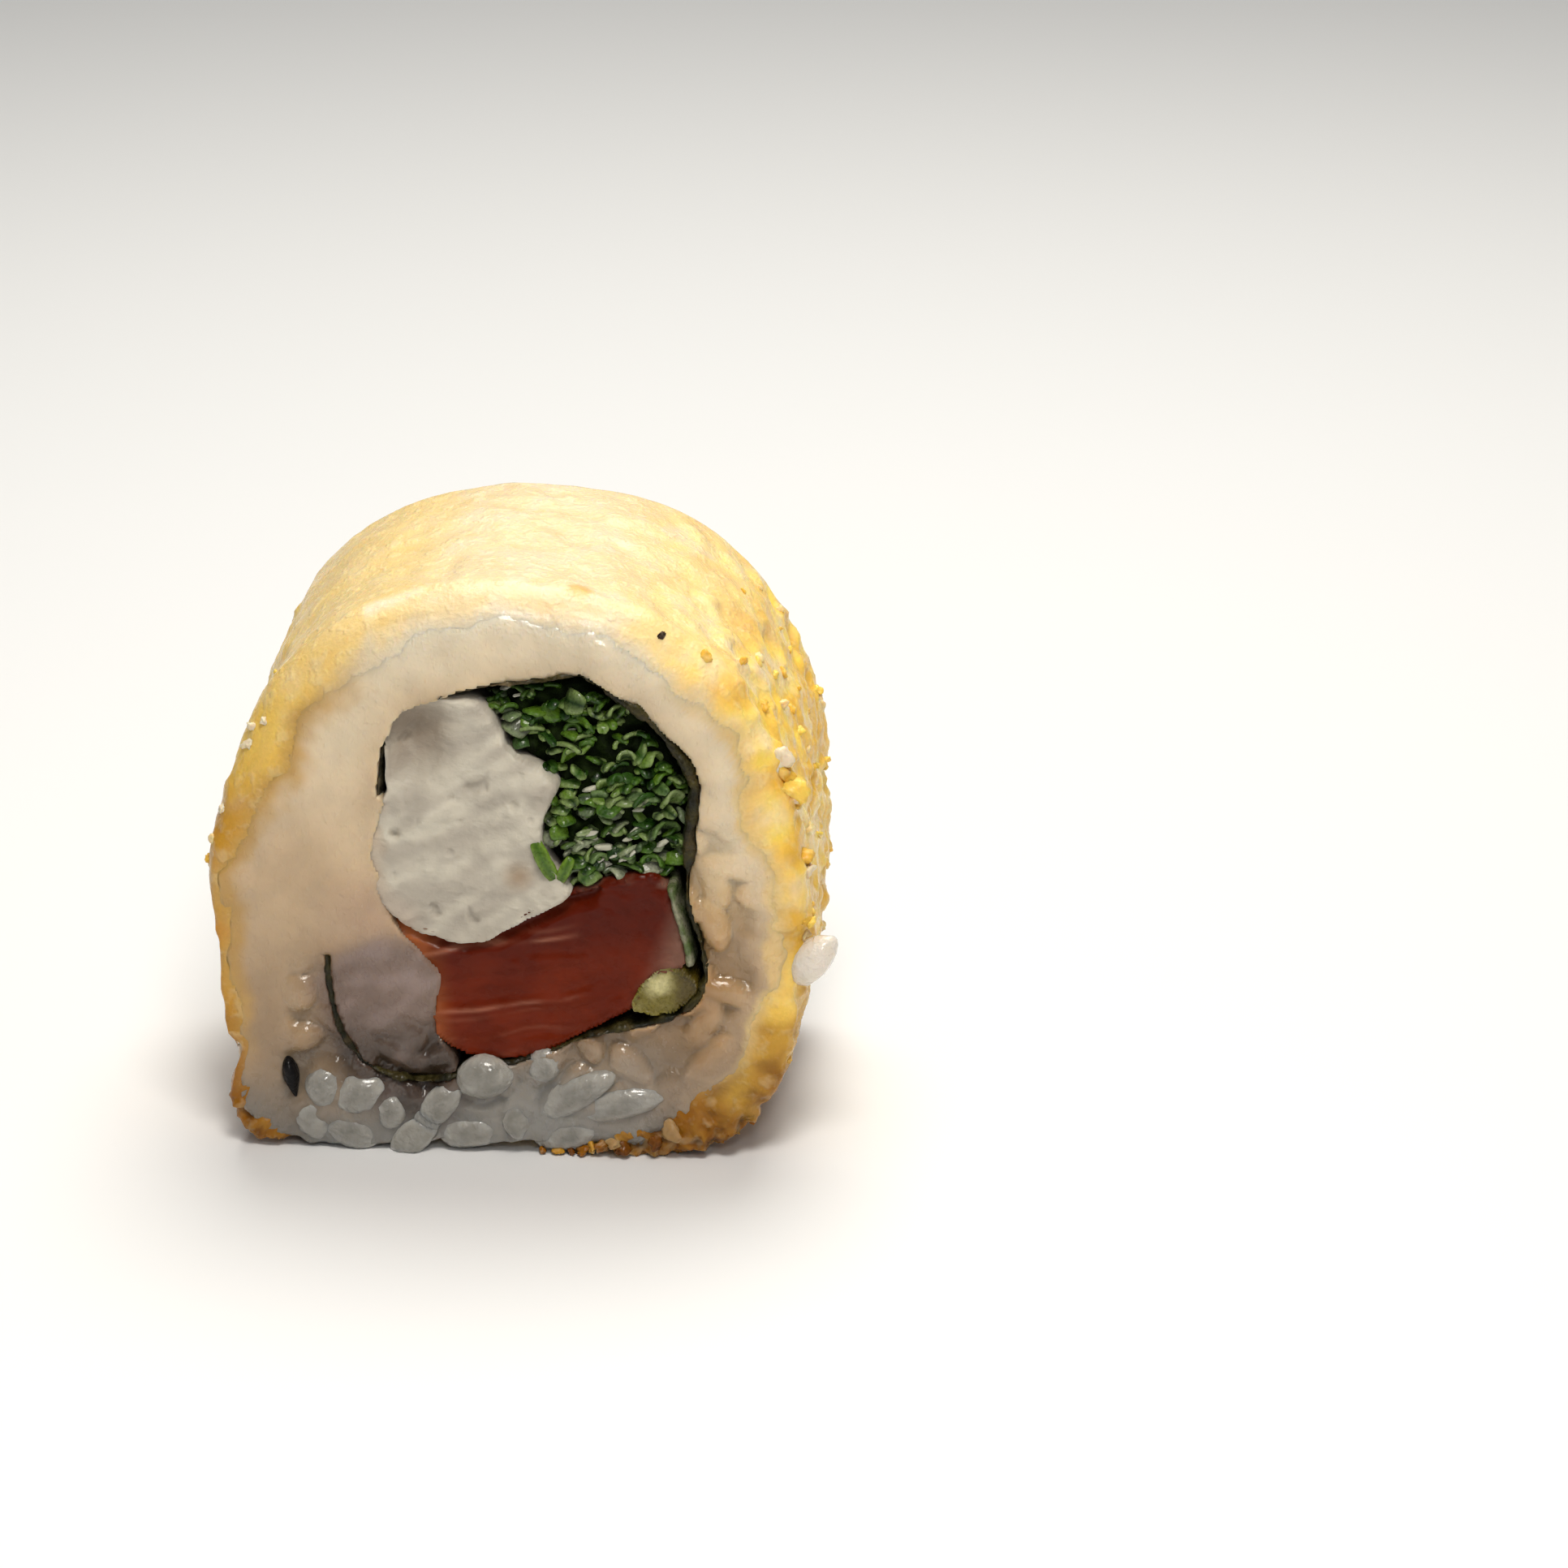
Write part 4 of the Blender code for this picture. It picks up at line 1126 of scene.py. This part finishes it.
# Onion blade
# A flat blade of onion leaf that lies along the roll between the salmon and the seaweed, grey-green and
# wet at its cut edge.
blade = dense_copy("onion_leaf", 0.11, 0.16, 0.12)
points = places(blade)
facing = normals(blade)
ripple = lumps(points * (1.0, 0.4, 1.0), 0.9, 6.0) * 0.12 * MM
points = points + facing * ripple[:, None]
set_places(blade, points)
blade_grey = (0.30, 0.29, 0.19)
blade_green = (0.11, 0.15, 0.05)
set_tint(blade, mixed(blade_green, blade_grey, step(-0.3, 0.4, lumps(points, 0.9, 8.0))))
add_piece("onion_blade", blade, "onion_leaf", onion_paint, "onion_leaf")


# Batter coat
# A thin coat of tempura batter, fried craggy and blistered, that wraps the rice and hugs its ends. It is
# golden where it shows to the light, pale and floury on top, amber and brown at the two low corners, there
# partly as painted shade. Painted light brightens its upper right, partly painted shade deepens its left
# side, painted shade darkens its crag hollows, and a painted highlight streaks its top.
def crag_strength(x, z):
    """How craggy the crust is: most on the right side and at the two low corners, least on top."""
    right = ramp(11.0, 19.0, x) * (1.0 - 0.4 * ramp(30.0, 38.0, z))
    corner = ramp(12.0, 18.0, np.abs(x)) * fall(3.0, 10.0, z)
    left = ramp(15.0, 20.0, -x) * 0.45
    return np.clip(0.12 + 0.88 * np.maximum(np.maximum(right, corner), left), 0.0, 1.0)


def ridges(points, size, start, top, slope):
    """Sharp ridges of that size in mm, with soft hollows between them."""
    return top - np.abs(lumps(points, size, start)) * slope


coat_tree = surface_of(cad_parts["tempura_coat"])
blisters_in_all = 250
# Each row: x, y, z and size in mm.
crumbs_by_eye = (
    (24.2, -11.6, 30.4, 0.75), (24.0, -11.0, 29.2, 0.7), (24.5, -10.6, 27.9, 0.9), (23.9, -10.9, 27.0, 0.8),
    (24.4, -9.5, 22.0, 0.6), (24.0, -10.5, 21.4, 0.8), (8.4, -13.6, 1.2, 1.2), (7.0, -13.4, 0.8, 0.8),
    (12.4, -13.6, 2.0, 1.2), (13.9, -13.4, 3.3, 1.3), (15.4, -13.2, 2.4, 1.1), (17.4, -12.8, 4.6, 1.3),
    (10.6, -13.5, 1.3, 0.9), (-18.9, -13.2, 2.2, 1.1), (-17.2, -13.4, 1.0, 0.9), (-20.6, -12.6, 17.4, 0.9),
)
# Each row: x from and to and the greatest height in mm, and how many clots.
clotted_corners = ((6.5, 19.5, 6.5, 60), (-20.5, -16.5, 4.5, 16))
blister, blister_faces = master_shape(bmesh.ops.create_icosphere, subdivisions=2, radius=1.0)


def on_coat(tree, x, y, z):
    """A place in mm, moved level onto the coat where it stands out at the left or the right."""
    inward = Vector((-math.copysign(1.0, x), 0.0, 0.0))
    found = tree.ray_cast(Vector((x, y, z)) * MM - inward * 60.0 * MM, inward)[0]
    return found if found and abs(x) > 15.0 and z > 5.0 else Vector((x, y, z)) * MM


def random_spot(tree, draw, reach):
    """A random place on the coat as a ray from outside meets it, and the way it faces there."""
    angle = draw.uniform(0.0, math.tau)
    y = draw.uniform(-reach, reach) * MM
    outward = Vector((math.cos(angle), 0.0, math.sin(angle)))
    start = Vector((0.0, y, slice_middle.z)) + outward * 60.0 * MM
    return tree.ray_cast(start, -outward)[:2]


def add_nodules(shell):
    """Melts blisters and clotted crumbs of batter into the coat before its skin is made."""
    draw = random.Random(31)
    lumps_of_batter = []
    for x, y, z, size in crumbs_by_eye:
        flattened = blister * (1.0, 0.8, 0.65) * size * MM
        place = np.array(on_coat(coat_tree, x, y, z))
        lumps_of_batter.append((flattened @ random_turn(draw) + place, golden))
    while len(lumps_of_batter) < blisters_in_all:
        place, normal = random_spot(coat_tree, draw, 13.4)
        if place is None or place.z < 1.2 * MM or (place - stray_place).length < 3.8 * MM:
            continue
        strength = crag_strength(place.x, place.z)
        if draw.random() > strength:
            continue
        size = draw.uniform(0.5, 1.25) * MM * (0.6 + 0.6 * strength)
        flattened = blister * (1.0, 0.8, 0.6) * size
        middle = place - normal * size * draw.uniform(0.2, 0.6)
        lumps_of_batter.append((flattened @ random_turn(draw) + np.array(middle), golden))
    shell.from_mesh(heap_mesh("blisters", blister_faces, lumps_of_batter))
    ends = [vert for vert in shell.verts if (vert.co - stray_place).length > 3.4 * MM]
    squared_ends(ends, 11.8 * MM, cut_face)
    for x_low, x_high, z_high, wanted in clotted_corners:
        clots = []
        while len(clots) < wanted:
            x, z = draw.uniform(x_low, x_high), draw.uniform(0.3, z_high)
            if z > 0.8 + (abs(x) - 6.5) * 0.6:
                continue
            size = draw.uniform(0.45, 1.0) * MM
            middle = np.array((x, draw.uniform(-14.3, -13.6), z)) * MM
            clots.append(((blister * (1.0, 0.8, 0.7) * size) @ random_turn(draw) + middle, golden))
        shell.from_mesh(heap_mesh("clots", blister_faces, clots))


golden = (0.80, 0.48, 0.07)
coat = dense_copy("tempura_coat", 0.335, 1.0, 0.0, add_nodules)
points = places(coat)
facing = normals(coat)
side = np.sign(points[:, 1])
stray = np.linalg.norm(points - np.array(stray_place), axis=1)
calm = ramp(2.2, 3.4, stray)
lying = face_share(points) * calm
in_clots = ramp(5.5, 8.0, np.abs(points[:, 0])) * fall(4.0, 7.0, points[:, 2])
flush = lying * (1.0 - in_clots)
points[:, 1] += (side * cut_face - points[:, 1]) * flush
by_face = end_share(points)
past = past_edge(points, rice_edge)
room = crust_thickness(points)
underneath = fall(2.0, 4.0, points[:, 2])
inner = 1.0 - step(0.15 * room, np.maximum(0.7 * room, 2.0 * MM * underneath), past)
points = pushed(points, -inner * by_face * 2.0 * MM)
points = rounded_off(points)
set_places(coat, points)
facing = normals(coat)
turn = turn_round(points)
x, y, z = points.T
outer = step(0.15, 0.75, np.cos(turn) * facing[:, 0] + np.sin(turn) * facing[:, 2])
over = past_seam(points)
strength = crag_strength(x, z) * (1.0 - 0.4 * lying)
folds = ridges(points, 3.0, 11.0, 0.5, 1.7) * 0.5 + ridges(points, 1.5, 18.0, 0.4, 1.4) * 0.22
height = folds * strength * np.maximum(outer, lying * ramp(0.1, 1.6, over))
height = height * calm * ramp(0.2, 1.2, z)
height += ramp(-6.0, 8.0, y) * ramp(32.0, 41.0, z - x * 0.2) * outer * 0.6
flat = points * (1.0, 0.0, 1.0) + side[:, None] * (0.0, cut_face, 0.0)
height += lumps(flat, 5.0) * 0.3 * lying
height -= (np.clip(-over / MM, 0.0, 0.4) * 0.14 + np.clip(-over / MM - 0.4, 0.0, 1.6) * 0.8) * lying
corner = in_clots * ramp(6.0, 9.0, np.abs(x))
corner = corner * fall(1.0, 8.0, z + lumps(points, 2.5, 37.0) * 2.5 * MM)
crag = ridges(points, 1.4, 33.0, 0.35, 1.6) + 0.4 * ridges(points, 0.7, 34.0, 0.3, 1.4)
near_end = ramp(9.0, 13.0, np.abs(y))
height += crag * corner * (0.3 + 0.5 * near_end) * np.maximum(outer, lying)
hidden_low = fall(1.5, 3.5, z) * ramp(-17.5, -14.0, x) * ramp(8.0, 5.0, x)
height -= hidden_low * 1.8 * lying
way = mixed(facing, face_way(points), lying)
points = points + way * (height * MM)[:, None]
points[:, 2] = np.maximum(points[:, 2], 0.0)
set_places(coat, points)

bright_yellow = (0.95, 0.64, 0.12)
pale_flour = (0.82, 0.69, 0.50)
deep_gold = (0.58, 0.29, 0.03)
amber = (0.29, 0.105, 0.004)
burnt_and_shaded_brown = (0.17, 0.055, 0.003)
butter_yellow = (0.96, 0.66, 0.16)
top_gold = (0.88, 0.71, 0.40)
dull_gold = (0.87, 0.66, 0.34)
toffee = (0.50, 0.27, 0.07)
crag_brown = (0.38, 0.18, 0.02)
crevice_shade = (0.07, 0.028, 0.004)
orange_brown = (0.62, 0.25, 0.03)
painted_glint_white = (0.95, 0.88, 0.72)
blister_gold = (0.80, 0.44, 0.10)
x, y, z = points.T
facing = normals(coat)
broad = lumps(points, 3.4, 8.0)
small = lumps(points, 1.5, 9.0)
tiny = lumps(points, 0.8, 10.0)
from_left = ramp(-20.0, 4.0, x + z * 0.4 - 12.0 * MM)
on_left = ramp(8.0, 17.0, -x) * fall(24.0, 36.0, z) * 1.5
on_top = ramp(33.0, 42.0, z) * (1.0 - 0.75 * ramp(4.0, 11.0, np.abs(x - 2.0 * MM)))
floury = step(-0.1, 0.6, broad * 0.7 + small * 0.5) * 0.55 * (1.0 - 0.55 * np.clip(on_left, 0.0, 1.0))
high = 0.15 + 0.85 * ramp(8.0, 24.0, z)
shoulder = ramp(3.0, 8.0, -x) * ramp(26.0, 31.0, z)
# Partly painted shade: deeper gold on the left side, besides the crust's own deeper tones.
colour = layered(
    golden,
    (bright_yellow, step(-0.4, 0.3, broad) * from_left),
    (deep_gold, np.clip(on_left * 0.6 + step(0.2, 0.5, small - broad * 0.4) * 0.3, 0.0, 1.0)),
    (butter_yellow, shoulder * 0.7),
    (pale_flour, np.clip(on_top * 0.75 + floury * (1.0 - 0.5 * shoulder), 0.0, 1.0) * high),
    (top_gold, ramp(35.0, 41.0, z) * 0.45),
)
# Painted light: the crust's upper right is made brighter.
upper_right = ramp(8.0, 15.0, x) * ramp(18.0, 26.0, z)
# Partly painted shade: the crust turns amber and brown low down at both corners, besides its deeper fry
# there.
low = fall(1.5, 14.0, z + broad * 3.0 * MM) * ramp(5.0, 11.0, np.abs(x))
# Painted highlight: a pale streak across the top of the front rim.
along_streak = np.abs(x + 7.6 * MM)
from_streak = np.abs((z - 42.7 * MM) - (x + 7.6 * MM) * 0.45) + np.clip(along_streak - 2.0 * MM, 0.0, None)
streak = fall(0.2, 1.0, from_streak) * fall(0.6, 2.0, np.abs(y + 11.5 * MM))
from_blister = np.linalg.norm(points - np.array((5.8, -10.0, 43.1)) * MM, axis=1)
at_rim = fall(0.0, 1.6, past_seam(points))
at_rim = at_rim * step(0.2, 0.6, np.abs(facing[:, 1])) * ramp(4.0, 12.0, z)
set_tint(coat, layered(
    colour * (1.0 + 0.12 * upper_right)[:, None],
    (amber, low * 0.97),
    (burnt_and_shaded_brown, low * step(-0.1, 0.4, small + broad * 0.5) * 0.8),
    (toffee, low * step(0.0, 0.6, tiny) * 0.35),
    (crag_brown, corner * step(0.0, 0.4, crag) * (0.35 + 0.4 * near_end)),
    # Painted shade in the hollows between the crags.
    (crevice_shade, corner * step(-0.1, -0.7, crag) * (0.3 + 0.55 * near_end)),
    (orange_brown, near(points, -20.4, 17.3, 1.6) * (y < 0) * 0.8),
    (painted_glint_white, streak * 0.8),
    (blister_gold, fall(0.5, 1.3, from_blister) * 0.75),
    (rim_colour(points), at_rim),
))

crust_paint, tint = tinted_paint(
    "fried_batter", glow=(0.4, 0.5, (1.0, 0.6, 0.2)), film=(0.15, 0.08), Specular_IOR_Level=0.15,
)
flour = spots(crust_paint, 1.1, 0.5, 0.7)
pore = spots(crust_paint, 0.3, 0.3, 0.7)
browned = spots(crust_paint, 1.6, 0.5, 0.75)
tint = blended(crust_paint, tint, (0.90, 0.80, 0.52), between(crust_paint, flour, 0.0, 0.18))
tint = darker(crust_paint, tint, pore, 0.06)
browner = add_node(crust_paint, "VectorMath", {"operation": "MULTIPLY"})
join_up(crust_paint, tint, browner.inputs[0])
browner.inputs[1].default_value = (0.93, 0.78, 0.5)
tint = blended(crust_paint, tint, browner.outputs["Vector"], between(crust_paint, browned, 0.0, 0.25))
finish(crust_paint, tint, between(crust_paint, flour, 0.26, 0.5), (flour, 0.06), (pore, 0.02))
coat_piece = add_piece("batter_coat", coat, "fried_batter", crust_paint, "tempura_coat")


# Loose crumbs
# Flecks of fried batter and a few flakes that cling to the coat, and one tiny burnt speck near the top of
# the front rim.
coat_tree = surface_of(coat_piece)
draw = random.Random(77)
crumbs_in_all = 105


def crumb(place, size, colour):
    """A rough, flattened fleck of batter."""
    start = np.array([draw.uniform(0.0, 9.0) for axis in range(3)])
    uneven = 0.6 * soft_noise(pebble + start) + 0.35 * soft_noise((pebble + start) / 0.4)
    rough = pebble * (1.0 + uneven)[:, None] * (1.0, 1.0, 0.6) * size
    return rough @ random_turn(draw) + np.array(place), colour


toast = (0.42, 0.26, 0.11)
# Each row: x, y, z and size in mm, and the tone.
flakes_by_eye = (
    (23.4, -11.6, 31.0, 0.95, pale_flour), (23.8, -11.6, 28.9, 1.2, bright_yellow),
    (23.3, -11.4, 29.9, 0.9, golden), (24.5, -11.4, 22.3, 0.65, pale_flour),
    # The pale flecks high on the left edge are partly a painted highlight where the crust glints.
    (24.1, -11.2, 23.2, 0.8, golden), (-18.0, -11.4, 32.4, 0.45, pale_flour),
    (-18.6, -11.9, 31.3, 0.5, pale_flour), (-17.5, -12.2, 33.2, 0.35, pale_flour),
    (-20.6, -12.4, 26.4, 0.4, pale_flour), (-21.0, -12.0, 22.2, 0.4, golden),
    (2.9, -13.7, 0.3, 0.3, amber), (4.1, -13.7, 0.4, 0.4, deep_gold), (5.0, -13.7, 0.3, 0.35, burnt_and_shaded_brown),
    (5.8, -13.7, 0.5, 0.5, amber), (6.6, -13.8, 0.7, 0.5, deep_gold), (7.4, -13.9, 0.9, 0.6, amber),
    (8.2, -14.0, 1.2, 0.6, toast), (9.0, -13.9, 0.8, 0.7, burnt_and_shaded_brown), (12.6, -14.3, 2.4, 0.7, toast),
    (11.4, -14.2, 1.4, 0.6, burnt_and_shaded_brown),
)
bits = [crumb(on_coat(coat_tree, *place), size * MM, tone) for *place, size, tone in flakes_by_eye]
while len(bits) < crumbs_in_all:
    place, normal = random_spot(coat_tree, draw, 13.3)
    if place is None or place.z < 0.8 * MM or draw.random() > crag_strength(place.x, place.z) ** 2:
        continue
    # Partly painted shade: crumbs lower down are mixed towards amber.
    low = fall(3.0, 13.0, place.z)
    tone = draw.choice((golden, bright_yellow, dull_gold))
    tone = mixed(tone, amber, [low * draw.uniform(0.5, 1.0)])[0]
    bits.append(crumb(place, draw.uniform(0.2, 0.5) * MM, tone))
speck = coat_tree.ray_cast(Vector((11.9, -40.0, 40.4)) * MM, Vector((0.0, 1.0, 0.0)))[0]
bits.append(crumb(speck, 0.34 * MM, (0.03, 0.016, 0.008)))
crumbs = heap_mesh("batter_crumbs", pebble_faces, bits)
points = places(crumbs)
points[:, 2] = np.maximum(points[:, 2], 0.0)
set_places(crumbs, points)
add_piece("batter_crumbs", crumbs, "fried_batter", crust_paint)


size = {"cad": [list(cad_low), list(cad_high)], "visual": [list(corner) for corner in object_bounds()]}
